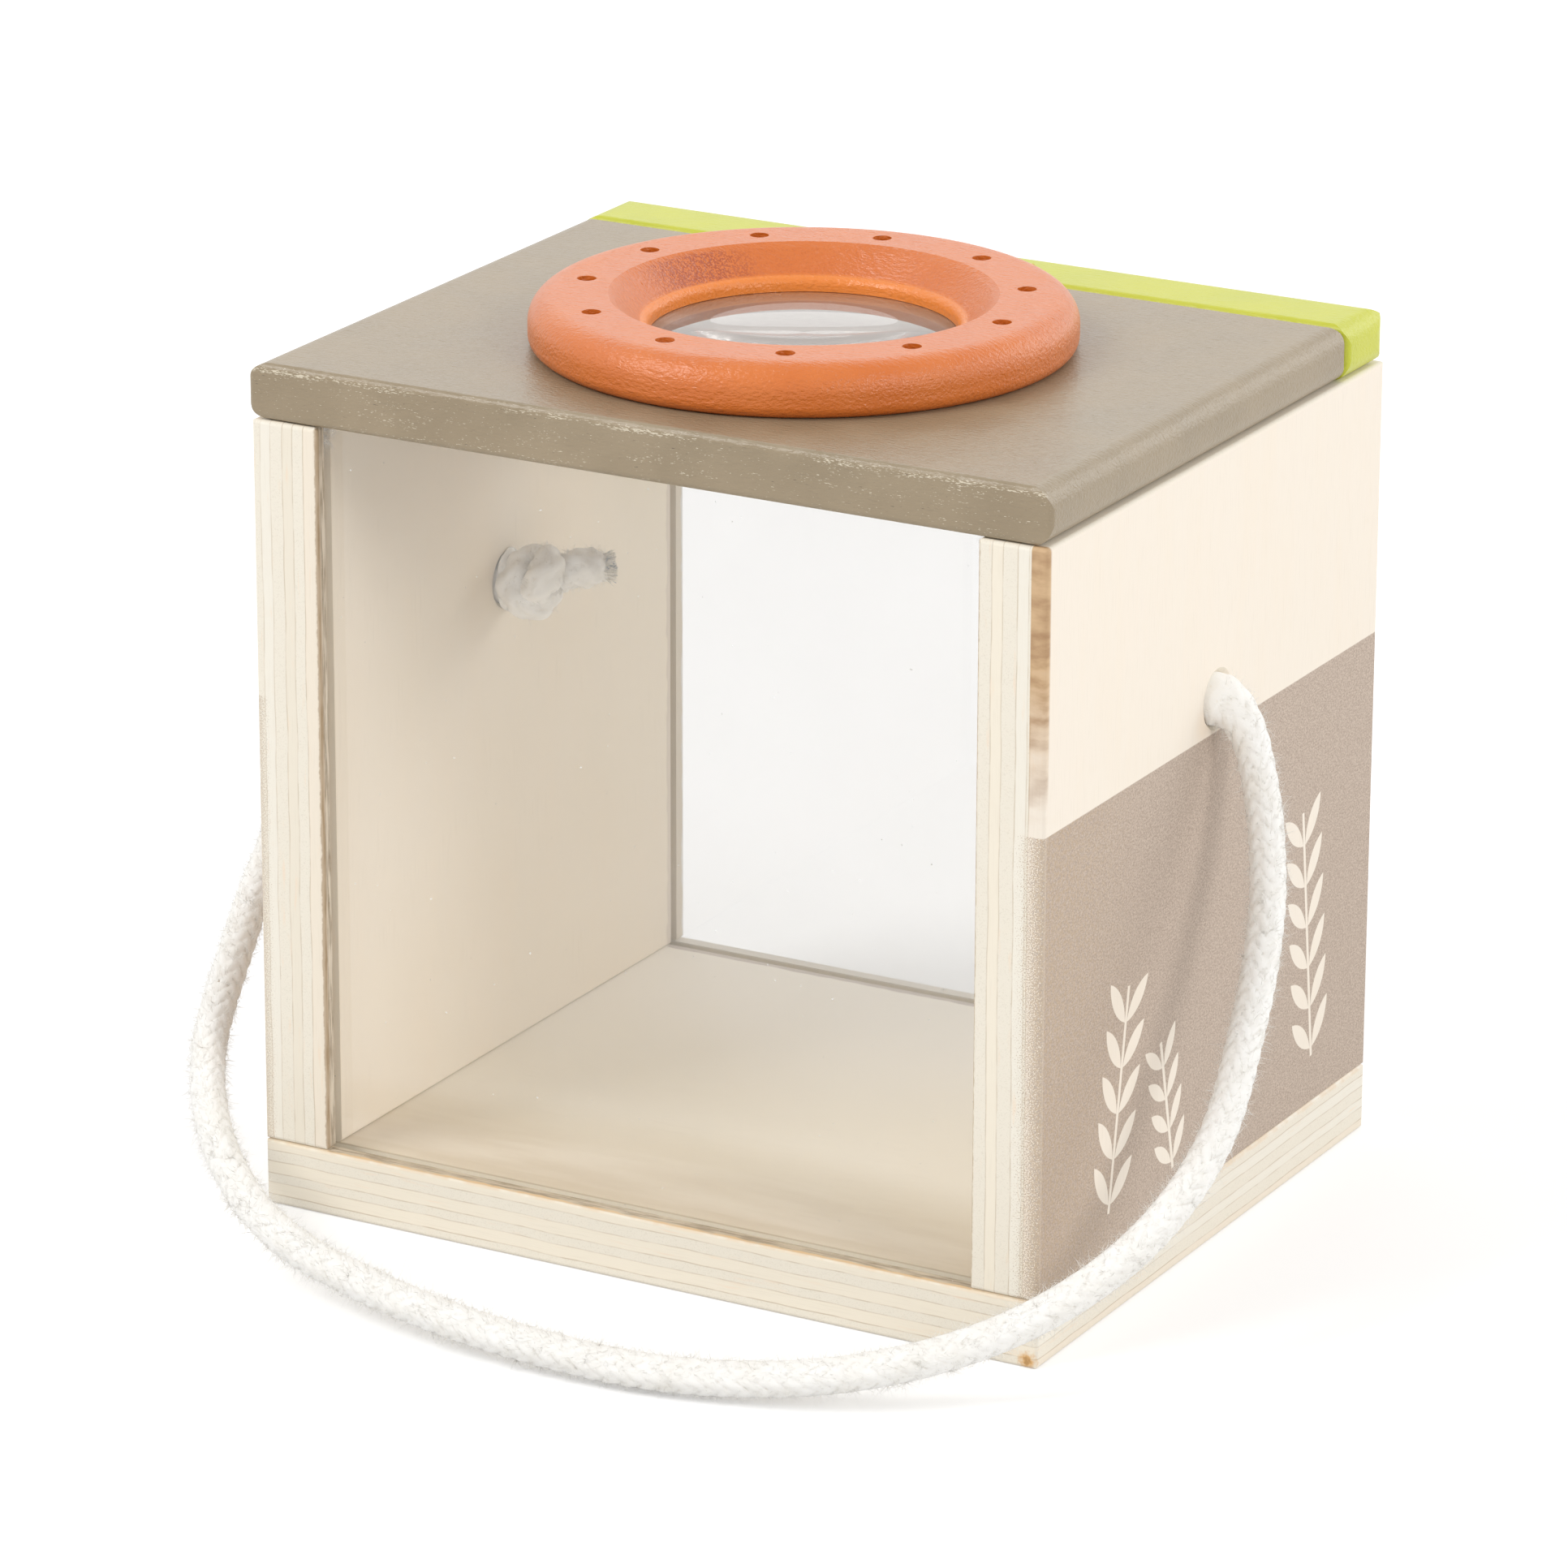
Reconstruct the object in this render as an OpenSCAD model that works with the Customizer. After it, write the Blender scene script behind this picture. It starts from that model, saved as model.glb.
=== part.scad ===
// Bug catcher box of plywood with two clear windows, a hinged lid with a magnifier and a cord handle.
// Millimetres, Z up, origin at the middle of the underside of the base, front towards -Y.

/* [Box] */
// Width of the box over both side panels
box_w = 100; // [92:1:110]
// Depth of the box from front to rear
box_d = 84; // [80:1:92]
// Height of the side panels
wall_h = 86.2; // [80:0.2:96]
// Thickness of the plywood base
base_t = 8; // [7:0.2:10]
// Thickness of the plywood side panels
panel_t = 8.4; // [7.8:0.2:10]
// Rounding of the sawn plywood edges
ply_edge_r = 0.5; // [0.4:0.1:1.2]

/* [Windows] */
// Thickness of the acrylic sheet
pane_t = 2; // [1.6:0.1:2.2]
// Play of the sheet in its groove, on each face
pane_play = 0.1; // [0.05:0.05:0.2]
// Depth of the grooves in the side panels
groove_depth = 2.6; // [2:0.1:3]
// Depth of the grooves in the base
base_groove_depth = 2; // [1.5:0.1:3]
// Wood left in front of the front sheet
front_lip = 1.7; // [1.4:0.1:2]
// Wood left behind the rear sheet
rear_lip = 2; // [1.4:0.1:2.4]
// Space over the sheet's top edge, under the lid
pane_head_gap = 0.2; // [0.1:0.1:0.5]

/* [Lid and rail] */
// Thickness of the lid
lid_t = 6.5; // [6:0.1:8]
// Overhang of lid and rail over the side panels
lid_lap = 0.4; // [0:0.1:0.8]
// Rounding of the lid along its two sides
lid_side_r = 2.6; // [1.4:0.1:2.9]
// Rounding of the lid along its front and rear, and at its upright corners
lid_front_r = 0.8; // [0.5:0.1:1.4]
// Depth of the fixed rail behind the lid
rail_d = 10.8; // [10:0.1:14]
// Rounding of the rail's front edges, next to the lid
rail_front_r = 1; // [0.6:0.1:1.6]
// Rounding of the rail's ends
rail_end_r = 2.4; // [1.2:0.1:2.9]
// Rounding of the rail's back edges and back corners
rail_back_r = 2.9; // [2:0.1:3]
// Gap in the seam between lid and rail
seam_gap = 0.4; // [0.3:0.05:0.6]
// Height of the paint skin that the closed lid rests on
lid_seat_gap = 0.1; // [0.05:0.05:0.2]

/* [Lens ring] */
// Lid left bare in front of the ring, and about as much behind it
ring_margin = 5.4; // [4.9:0.1:6]
// Height of the ring over the lid
ring_h = 6; // [5.6:0.1:7]
// Distance of the ring's centre behind the lid's middle
ring_back = 0.5; // [0:0.1:0.8]
// Large rounding along the outer top
ring_top_r = 3.2; // [2.4:0.1:3.6]
// Small rounding along the outer foot
ring_foot_r = 1.5; // [1:0.1:1.9]
// Width of the ring's rim, from its widest line to the bevel
ring_rim_w = 9.3; // [8.8:0.1:9.8]
// Width of the bevel, from the rim down to the throat
bevel_w = 4.3; // [3.8:0.1:5]
// Height of the bead at the foot of the bevel, over the lid
bead_z = 2; // [1.8:0.1:2.4]
// Rounding of that bead
bead_r = 1; // [0.6:0.1:1.2]
// Width of the small break between bevel and flat top
bevel_break = 0.5; // [0.2:0.1:0.8]

/* [Air holes] */
// Number of air holes round the ring
air_hole_count = 11; // [5:1:16]
// Diameter of one air hole
air_hole_d = 2.2; // [1.6:0.1:2.6]
// Distance of their middles from the ring's widest line
air_hole_inset = 5.9; // [5.5:0.1:6.3]
// Turn of the first hole from the right-hand side, in degrees
air_first_angle = -0.2; // [-16:0.1:16]

/* [Lens] */
// Width of the lens's rim that lies under the ring
lens_lap = 1.9; // [1.4:0.1:2.2]
// Thickness of the lens at its edge
lens_edge_t = 1.7; // [1.4:0.1:1.8]
// Radius of both curved faces
lens_face_r = 92; // [84:1:140]
// Play round the lens in its seat
lens_play = 0.05; // [0.03:0.01:0.1]

/* [Hinge] */
// Length of the hinge along the seam
hinge_w = 20; // [18:0.5:26]
// Radius of the barrel
barrel_r = 1.5; // [1.3:0.1:1.7]
// Radius of the pin
pin_r = 0.6; // [0.5:0.05:0.7]
// Running play round the pin
pin_play = 0.05; // [0.03:0.01:0.08]
// Height of the pin's axis over the lid's top
axis_lift = 0.6; // [0.4:0.1:1]
// Thickness of a leaf
leaf_t = 0.7; // [0.6:0.05:0.8]
// Reach of a leaf below the axis
leaf_reach = 5.2; // [5:0.1:5.6]
// Gap between the two closed leaves
leaf_gap = 0.1; // [0.06:0.02:0.14]
// Gap between neighbouring knuckles
knuckle_gap = 0.25; // [0.15:0.05:0.4]
// Room that the wood leaves round the barrel
barrel_room = 0.3; // [0.2:0.05:0.4]
// Play of a leaf in its mortise
mortise_play = 0.05; // [0.03:0.01:0.1]

/* [Hinge screws] */
// Radius of the shank
screw_r = 0.7; // [0.5:0.05:0.8]
// Radius of the countersunk head
screw_head_r = 1.25; // [1.1:0.05:1.3]
// Height of the head's cone
screw_head_h = 0.5; // [0.4:0.05:0.55]
// Whole length
screw_len = 6.5; // [5:0.1:7]
// Length of the point
screw_tip = 1.2; // [0.8:0.1:1.6]
// Distance of each screw from the hinge's middle
screw_x = 6; // [5:0.1:7]
// Distance of the screws below the axis
screw_drop = 3.6; // [3.4:0.1:3.7]
// Width of the driver slot
slot_w = 0.3; // [0.2:0.05:0.4]
// Depth of the driver slot
slot_depth = 0.25; // [0.15:0.05:0.3]

/* [Dowels] */
// Diameter of the dowels in the base
base_dowel_d = 4; // [3:0.1:4.2]
// Length of the dowels in the base
base_dowel_len = 13; // [10:0.5:14]
// How deep they sit in the base
base_dowel_sink = 5; // [4:0.5:5.5]
// Distance of these dowels from the middle, front and rear
base_dowel_y = 27; // [20:1:30]
// Diameter of the dowels in the rail
rail_dowel_d = 3; // [2:0.1:3]
// Length of the dowels in the rail
rail_dowel_len = 10; // [8:0.5:11]
// How deep they sit in the rail
rail_dowel_sink = 3.6; // [3:0.1:4]
// Broken edge at the dowels' ends
dowel_break = 0.4; // [0.2:0.1:0.6]
// Play round a dowel and at its ends
dowel_play = 0.05; // [0.03:0.01:0.1]

/* [Cord handle] */
// Diameter of the braided cotton cord
cord_d = 4.2; // [4:0.1:4.4]
// Diameter of the bores in the side panels
cord_bore_d = 6; // [5.8:0.1:6.6]
// Height of these bores over the box's underside
cord_bore_z = 65.5; // [65:0.5:66]
// Broken edge of these bores
cord_bore_break = 0.6; // [0.4:0.1:0.8]
// Diameter of the cord where the knot draws it tight
knot_cord_d = 2.6; // [2.2:0.1:2.6]
// Size of the knots, as a share of one tied loosely
knot_share = 0.87; // [0.87:0.01:1.1]
// Turn of the left knot about the cord, in degrees
knot_turn = 150; // [0:5:355]
// Gap between knot and panel
knot_gap = 0.3; // [0.2:0.05:0.5]

/* [Hidden] */
$fn = 64;
// Extra length of every cut past the face that it opens
over = 1;
tube_sides = 10;
knot_sides = 8;
route_steps = 2;
knot_steps = 2;

floor_z = base_t;
wall_top_z = base_t + wall_h;
lid_z = wall_top_z + lid_seat_gap;
lid_top_z = lid_z + lid_t;
rail_t = lid_t + lid_seat_gap;
half_w = box_w / 2;
half_d = box_d / 2;
lid_w = box_w + 2 * lid_lap;
inner_x = half_w - panel_t;

rail_front_y = half_d - rail_d;
lid_rear_y = rail_front_y - seam_gap;
lid_d = lid_rear_y + half_d;
seam_y = rail_front_y - seam_gap / 2;
axis_z = lid_top_z + axis_lift;

groove_w = pane_t + 2 * pane_play;
front_groove_y = -half_d + front_lip;
rear_groove_y = half_d - rear_lip - groove_w;
pane_half_w = inner_x + groove_depth - 2 * pane_play;
pane_foot_z = floor_z - base_groove_depth + pane_play;
pane_h = wall_top_z - pane_head_gap - pane_foot_z;

ring_od = lid_d - 2 * ring_margin;
ring_r = ring_od / 2;
ring_y = lid_rear_y - lid_d / 2 + ring_back;
bevel_d = ring_od - 2 * ring_rim_w;
throat_d = bevel_d - 2 * bevel_w;
throat_r = throat_d / 2;
air_circle_d = ring_od - 2 * air_hole_inset;
lens_d = throat_d + 2 * lens_lap;
lens_seat_r = lens_d / 2 + lens_play;
lens_seat_half = lens_edge_t / 2 + lens_rise(throat_r) + lens_play;

knuckle_w = (hinge_w - 2 * knuckle_gap) / 3;
leaf_face = leaf_gap / 2;
leaf_clear = barrel_r + pin_play + leaf_gap;
screw_z = axis_z - screw_drop;

base_dowel_x = half_w - panel_t / 2;
rail_dowel_y = rail_front_y + rail_d / 2;
rail_dowel_inset_share = 0.45;
rail_dowel_x = half_w - panel_t * rail_dowel_inset_share;

cord_r = cord_d / 2;
knot_cord_r = knot_cord_d / 2;

// Middle line of the cord from the left bore to the right one. It leaves each bore, droops to the ground
// and lies in front of the box. The points are drawn for a box of this width, depth and bore height.
route_box = [100, 84, 65.5];
cord_points = [
    [-44, 0, 65.5],
    [-46.5, 0, 65.5],
    [-49.5, 0, 65],
    [-52.2, -0.1, 63.6],
    [-54.4, -0.6, 61.2],
    [-56.4, -2, 57.3],
    [-58.7, -4.8, 52],
    [-61.3, -9.8, 45],
    [-63.2, -17.6, 35.4],
    [-62.5, -28, 25],
    [-59, -40, 15.5],
    [-50, -51, 9],
    [-36.5, -60.5, 5.5],
    [-19, -66.5, 4],
    [0, -69, 3],
    [19, -67.5, 2.5],
    [36.5, -61.5, 4],
    [50.5, -51.5, 8],
    [60, -40, 15],
    [64, -28.5, 24],
    [63.2, -17.6, 35.4],
    [61.3, -9.8, 45],
    [58.7, -4.8, 52],
    [56.4, -2, 57.3],
    [54.4, -0.6, 61.2],
    [52.2, -0.1, 63.6],
    [49.5, 0, 65],
    [46.5, 0, 65.5],
    [44, 0, 65.5]
];
// The cord meets the knots a little way inside the panels
knot_face_gap = 0.1;
cord_end_x = inner_x - knot_gap - knot_face_gap;
cord_route = concat(
    [[-cord_end_x, 0, cord_bore_z]],
    [for (p = cord_points)
        [p[0] * box_w / route_box[0], p[1] * box_d / route_box[1], p[2] * cord_bore_z / route_box[2]]],
    [[cord_end_x, 0, cord_bore_z]]
);

// Overhand knot about its own middle, as [along the cord, across, up]. The second half is the first one
// turned half round and run backwards.
knot_reach = 5;
knot_half_route = [
    [-5, -0.3, 0],
    [-4.6, -0.3, 0],
    [-4.2, -0.3, 0],
    [-3.3, -0.3, 0],
    [-1.7, 0.2, 0.5],
    [-0.6, 1.1, 1.5],
    [0.6, 2.3, 1.5],
    [1.8, 3.2, 0.6],
    [2.9, 3.1, -0.7],
    [3.6, 2.2, -2.1],
    [3.6, 0.9, -3.1],
    [3, -0.8, -3.3],
    [2.1, -2.1, -2.7],
    [1, -2.8, -1.5],
    [0, -2.8, 0]
];
// Free end beyond the knot, as [along the cord, towards the rear, up]
knot_tail_route = [
    [5.4, 0.3, 0.1],
    [7.2, 1.6, 0.3],
    [8.6, 3.6, 0.3],
    [9.4, 5.6, 0]
];
tail_r = 1.9;

function unit(v) = v / norm(v);

// How far the lens's curved face stands over its edge, at a radius
function lens_rise(r) =
    sqrt(lens_face_r * lens_face_r - r * r) - sqrt(lens_face_r * lens_face_r - lens_d * lens_d / 4);

function chord(p, i) = norm(p[i + 1] - p[i]);

function slope(p, i) =
    i == 0 ? unit(p[1] - p[0])
    : i == len(p) - 1 ? unit(p[i] - p[i - 1])
    : (p[i + 1] - p[i - 1]) / (chord(p, i) + chord(p, i - 1));

function between(p, i, s) =
    (2 * s * s * s - 3 * s * s + 1) * p[i]
    + (s * s * s - 2 * s * s + s) * chord(p, i) * slope(p, i)
    + (3 * s * s - 2 * s * s * s) * p[i + 1]
    + (s * s * s - s * s) * chord(p, i) * slope(p, i + 1);

// Smooth line through the given points, with the same number of steps in each stretch
function smooth_line(p, steps) = [
    for (i = [0 : len(p) - 2]) for (k = [0 : steps - 1]) between(p, i, k / steps),
    p[len(p) - 1]
];

function heading(c, i) = unit(c[min(i + 1, len(c) - 1)] - c[max(i - 1, 0)]);

function squared(n, t) = unit(n - (n * t) * t);

// Side directions carried along the line without twist
function side_dirs(c, seed) = [
    for (i = 0, n = squared(seed, heading(c, 0)); i < len(c); i = i + 1, n = squared(n, heading(c, i))) n
];

function tube_points(c, r, sides, seed) =
    let (dirs = side_dirs(c, seed))
    [
        for (i = [0 : len(c) - 1])
            let (t = heading(c, i), n = dirs[i], b = cross(t, n))
            for (j = [0 : sides - 1])
                c[i] + r[i] * (cos(j * 360 / sides) * n + sin(j * 360 / sides) * b)
    ];

function tube_faces(count, sides) = concat(
    [for (i = [0 : count - 2]) for (j = [0 : sides - 1])
        [i * sides + j, (i + 1) * sides + j, i * sides + (j + 1) % sides]],
    [for (i = [0 : count - 2]) for (j = [0 : sides - 1])
        [i * sides + (j + 1) % sides, (i + 1) * sides + j, (i + 1) * sides + (j + 1) % sides]],
    [for (j = [1 : sides - 2]) [0, j, j + 1]],
    [for (j = [1 : sides - 2]) [(count - 1) * sides, (count - 1) * sides + j + 1, (count - 1) * sides + j]]
);

module tube(c, r, sides, seed) {
    polyhedron(points = tube_points(c, r, sides, seed), faces = tube_faces(len(c), sides));
}

// Rectangle with rounded corners, about its middle
module round_rect(w, h, r) {
    square([w - 2 * r, h], center = true);
    square([w, h - 2 * r], center = true);
    for (x = [-1, 1], y = [-1, 1])
        translate([x * (w / 2 - r), y * (h / 2 - r)]) circle(r);
}

// Board rounded along all twelve edges, standing on z = 0. The radii are those of the edges that run
// upright, along Y and along X.
module soft_board(w, d, h, r_up, r_y, r_x) {
    intersection() {
        linear_extrude(h) round_rect(w, d, r_up);
        translate([0, d / 2, h / 2]) rotate([90, 0, 0]) linear_extrude(d) round_rect(w, h, r_y);
        translate([-w / 2, 0, h / 2]) rotate([90, 0, 90]) linear_extrude(w) round_rect(d, h, r_x);
    }
}

// As a soft board, with its back edges and back corners rounded further
module round_back_board(w, d, h, r_front, r_end, r_back) {
    reach = r_back + over;
    intersection() {
        soft_board(w, d, h, r_front, r_end, r_front);
        translate([0, -reach / 2, 0]) linear_extrude(h) round_rect(w, d + reach, r_back);
        translate([-w / 2, -reach / 2, h / 2]) rotate([90, 0, 90])
            linear_extrude(w) round_rect(d + reach, h, r_back);
    }
}

// Plywood board with its sawn edges evenly broken
module ply_board(w, d, h) {
    soft_board(w, d, h, ply_edge_r, ply_edge_r, ply_edge_r);
}

// Round rod with broken ends, standing on z = 0
module dowel(d, len) {
    rotate_extrude()
        polygon([
            [0, 0], [d / 2 - dowel_break, 0], [d / 2, dowel_break], [d / 2, len - dowel_break],
            [d / 2 - dowel_break, len], [0, len]
        ]);
}

module dowel_hole(d, depth) {
    translate([0, 0, -over]) cylinder(r = d / 2 + dowel_play, h = depth + over + dowel_play);
}

module air_holes(z, h) {
    for (i = [0 : air_hole_count - 1])
        translate([0, ring_y, z - over])
            rotate([0, 0, air_first_angle + i * 360 / air_hole_count])
                translate([air_circle_d / 2, 0, 0]) cylinder(d = air_hole_d, h = h + 2 * over, $fn = 24);
}

module base_panel() {
    color("blanchedalmond") difference() {
        ply_board(box_w, box_d, base_t);
        for (y = [front_groove_y, rear_groove_y])
            translate([-inner_x - groove_depth, y, floor_z - base_groove_depth])
                cube([2 * (inner_x + groove_depth), groove_w, base_groove_depth + over]);
        for (x = [-base_dowel_x, base_dowel_x], y = [-base_dowel_y, base_dowel_y])
            translate([x, y, floor_z]) mirror([0, 0, 1]) dowel_hole(base_dowel_d, base_dowel_sink);
    }
}

// Side panel on the right, its inner face towards -X
module side_panel() {
    difference() {
        translate([inner_x + panel_t / 2, 0, floor_z]) ply_board(panel_t, box_d, wall_h);
        for (y = [front_groove_y, rear_groove_y])
            translate([inner_x - over, y, floor_z - over])
                cube([groove_depth + over, groove_w, wall_h + 2 * over]);
        translate([inner_x - over, 0, cord_bore_z]) rotate([0, 90, 0])
            cylinder(d = cord_bore_d, h = panel_t + 2 * over);
        for (end = [0, 1])
            translate([end == 0 ? inner_x : half_w, 0, cord_bore_z]) rotate([0, end == 0 ? 90 : -90, 0])
                cylinder(r1 = cord_bore_d / 2 + cord_bore_break, r2 = cord_bore_d / 2, h = cord_bore_break);
        for (y = [-base_dowel_y, base_dowel_y])
            translate([base_dowel_x, y, floor_z]) dowel_hole(base_dowel_d, base_dowel_len - base_dowel_sink);
        translate([rail_dowel_x, rail_dowel_y, wall_top_z]) mirror([0, 0, 1])
            dowel_hole(rail_dowel_d, rail_dowel_len - rail_dowel_sink);
    }
}

module left_side_panel() {
    color("antiquewhite") mirror([1, 0, 0]) side_panel();
}

module right_side_panel() {
    color("antiquewhite") side_panel();
}

module window(y) {
    translate([-pane_half_w, y + pane_play, pane_foot_z]) cube([2 * pane_half_w, pane_t, pane_h]);
}

module front_window() {
    color("lightcyan", 0.35) window(front_groove_y);
}

module rear_window() {
    color("lightcyan", 0.35) window(rear_groove_y);
}

module base_dowels() {
    color("burlywood")
        for (x = [-base_dowel_x, base_dowel_x], y = [-base_dowel_y, base_dowel_y])
            translate([x, y, floor_z - base_dowel_sink]) dowel(base_dowel_d, base_dowel_len);
}

// Room for the barrel and for one leaf, open towards the seam
module hinge_cut() {
    translate([-hinge_w / 2 - mortise_play, seam_y, axis_z]) rotate([0, 90, 0])
        cylinder(r = barrel_r + barrel_room, h = hinge_w + 2 * mortise_play);
    translate([-hinge_w / 2 - mortise_play, seam_y - leaf_face - leaf_t - mortise_play,
        axis_z - leaf_reach - mortise_play])
        cube([hinge_w + 2 * mortise_play, 2 * (leaf_face + leaf_t + mortise_play), leaf_reach + mortise_play]);
}

// Screw along -Y, its head's face on y = 0
module hinge_screw() {
    rotate([90, 0, 0]) difference() {
        rotate_extrude($fn = 32)
            polygon([
                [0, 0], [screw_head_r, 0], [screw_r, screw_head_h], [screw_r, screw_len - screw_tip],
                [0, screw_len]
            ]);
        translate([-screw_head_r - over, -slot_w / 2, -over])
            cube([2 * (screw_head_r + over), slot_w, slot_depth + over]);
    }
}

module screw_hole() {
    rotate([90, 0, 0]) {
        translate([0, 0, -over])
            cylinder(r = screw_r + mortise_play, h = screw_len + over + mortise_play, $fn = 32);
        cylinder(r1 = screw_head_r + mortise_play, r2 = screw_r + mortise_play, h = screw_head_h, $fn = 32);
        translate([0, 0, -over]) cylinder(r = screw_head_r + mortise_play, h = over, $fn = 32);
    }
}

// One child at both screws of the lid's leaf, whose heads lie on the leaf's seam face
module at_screws() {
    for (x = [-screw_x, screw_x])
        translate([x, seam_y - leaf_face, screw_z]) children();
}

// Turns a form of the lid's side of the hinge over to the rail's side
module on_rail_side() {
    translate([0, 2 * seam_y, 0]) mirror([0, 1, 0]) children();
}

module hinge_rail() {
    color("yellowgreen") difference() {
        translate([0, rail_front_y + rail_d / 2, wall_top_z])
            round_back_board(lid_w, rail_d, rail_t, rail_front_r, rail_end_r, rail_back_r);
        hinge_cut();
        on_rail_side() at_screws() screw_hole();
        for (x = [-rail_dowel_x, rail_dowel_x])
            translate([x, rail_dowel_y, wall_top_z]) dowel_hole(rail_dowel_d, rail_dowel_sink);
    }
}

module rail_dowels() {
    color("burlywood")
        for (x = [-rail_dowel_x, rail_dowel_x])
            translate([x, rail_dowel_y, wall_top_z + rail_dowel_sink - rail_dowel_len])
                dowel(rail_dowel_d, rail_dowel_len);
}

// Leaf on the lid's side, with knuckles at the given starts along the hinge
module leaf(starts) {
    difference() {
        union() {
            translate([-hinge_w / 2, seam_y - leaf_face - leaf_t, axis_z - leaf_reach])
                cube([hinge_w, leaf_t, leaf_reach - leaf_clear]);
            for (x = starts) {
                translate([x, seam_y - leaf_face - leaf_t, axis_z - leaf_reach])
                    cube([knuckle_w, leaf_t, leaf_reach]);
                translate([x, seam_y, axis_z]) rotate([0, 90, 0]) cylinder(r = barrel_r, h = knuckle_w);
            }
        }
        translate([-hinge_w / 2 - over, seam_y, axis_z]) rotate([0, 90, 0])
            cylinder(r = pin_r + pin_play, h = hinge_w + 2 * over, $fn = 32);
        at_screws() screw_hole();
    }
}

module rail_hinge_leaf() {
    color("goldenrod") on_rail_side() leaf([-hinge_w / 2, hinge_w / 2 - knuckle_w]);
}

module lid_hinge_leaf() {
    color("goldenrod") leaf([-knuckle_w / 2]);
}

module hinge_pin() {
    color("darkgoldenrod")
        translate([-hinge_w / 2, seam_y, axis_z]) rotate([0, 90, 0])
            cylinder(r = pin_r, h = hinge_w, $fn = 32);
}

module rail_hinge_screws() {
    color("gold") on_rail_side() at_screws() hinge_screw();
}

module lid_hinge_screws() {
    color("gold") at_screws() hinge_screw();
}

module lid_panel() {
    color("#a59680") difference() {
        translate([0, lid_rear_y - lid_d / 2, lid_z])
            soft_board(lid_w, lid_d, lid_t, lid_front_r, lid_side_r, lid_front_r);
        translate([0, ring_y, lid_z - over]) cylinder(r = throat_r, h = lid_t + 2 * over, $fn = 96);
        translate([0, ring_y, lid_top_z - lens_seat_half])
            cylinder(r = lens_seat_r, h = lens_seat_half + over, $fn = 96);
        air_holes(lid_z, lid_t);
        hinge_cut();
        at_screws() screw_hole();
    }
}

// Turned section of the ring, from its axis outwards, foot on y = 0
module ring_section() {
    union() {
        difference() {
            intersection() {
                square([ring_r, ring_h]);
                union() {
                    square([ring_r - ring_top_r, ring_h]);
                    translate([0, ring_foot_r]) square([ring_r, ring_h - ring_top_r - ring_foot_r]);
                    square([ring_r - ring_foot_r, ring_foot_r]);
                    translate([ring_r - ring_top_r, ring_h - ring_top_r]) circle(ring_top_r);
                    translate([ring_r - ring_foot_r, ring_foot_r]) circle(ring_foot_r);
                }
            }
            // funnel over the bead
            polygon([
                [-over, bead_z], [throat_r + bead_r, bead_z], [throat_r + bead_r, bead_z + bead_r],
                [bevel_d / 2 - bevel_break, ring_h - bevel_break], [bevel_d / 2 + bevel_break / 2, ring_h],
                [bevel_d / 2 + bevel_break / 2, ring_h + over], [-over, ring_h + over]
            ]);
            translate([-over, -over]) square([throat_r + over, bead_z + 2 * over]);
        }
        translate([throat_r + bead_r, bead_z]) circle(bead_r);
    }
}

module lens_ring() {
    color("coral") difference() {
        translate([0, ring_y, lid_top_z]) rotate_extrude($fn = 128) ring_section();
        translate([0, ring_y, lid_top_z - over])
            cylinder(r = lens_seat_r, h = lens_seat_half + over, $fn = 96);
        air_holes(lid_top_z, ring_h);
    }
}

module lens() {
    crown = lens_edge_t / 2 + lens_rise(0);
    color("azure", 0.35)
        translate([0, ring_y, lid_top_z]) rotate_extrude($fn = 128) intersection() {
            translate([0, crown - lens_face_r]) circle(lens_face_r, $fn = 480);
            translate([0, lens_face_r - crown]) circle(lens_face_r, $fn = 480);
            translate([0, -crown]) square([lens_d / 2, 2 * crown]);
        }
}

module rope_handle() {
    line = smooth_line(cord_route, route_steps);
    color("ivory") tube(line, [for (p = line) cord_r], tube_sides, [0, 0, 1]);
}

function about_cord(p) = [
    knot_share * p[0],
    knot_share * (p[1] * cos(knot_turn) - p[2] * sin(knot_turn)),
    knot_share * (p[1] * sin(knot_turn) + p[2] * cos(knot_turn))
];

// Overhand knot on the left, cord running towards +X out of the bore
module knot() {
    count = len(knot_half_route);
    second_half = [for (i = [count - 2 : -1 : 3]) let (p = knot_half_route[i]) [-p[0], p[1], -p[2]]];
    route = concat(
        [for (p = knot_half_route) about_cord(p)],
        [for (p = second_half) about_cord(p)],
        [for (p = knot_tail_route) knot_share * p]
    );
    line = smooth_line(route, knot_steps);
    entry = 2 * knot_steps;
    exit = len(line) - len(knot_tail_route) * knot_steps;
    radii = [for (i = [0 : len(line) - 1])
        i < entry ? cord_r + (knot_cord_r - cord_r) * i / entry
        : i < exit ? knot_cord_r
        : min(tail_r, knot_cord_r + (tail_r - knot_cord_r) * (i - exit) / (2 * knot_steps))];
    translate([-cord_end_x + knot_share * knot_reach, 0, cord_bore_z]) tube(line, radii, knot_sides, [0, 0, 1]);
}

module left_knot() {
    color("floralwhite") knot();
}

module right_knot() {
    color("floralwhite") rotate([0, 0, 180]) knot();
}

base_panel();
left_side_panel();
right_side_panel();
front_window();
rear_window();
base_dowels();
hinge_rail();
rail_dowels();
rail_hinge_leaf();
hinge_pin();
rail_hinge_screws();
lid_panel();
lens_ring();
lens();
lid_hinge_leaf();
lid_hinge_screws();
rope_handle();
left_knot();
right_knot();
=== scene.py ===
"""Bug catcher box: plywood sides, acrylic windows, a painted lid with a lens ring, and a cord handle."""

import math

import bpy
import numpy as np
from mathutils import Matrix, Vector


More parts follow.
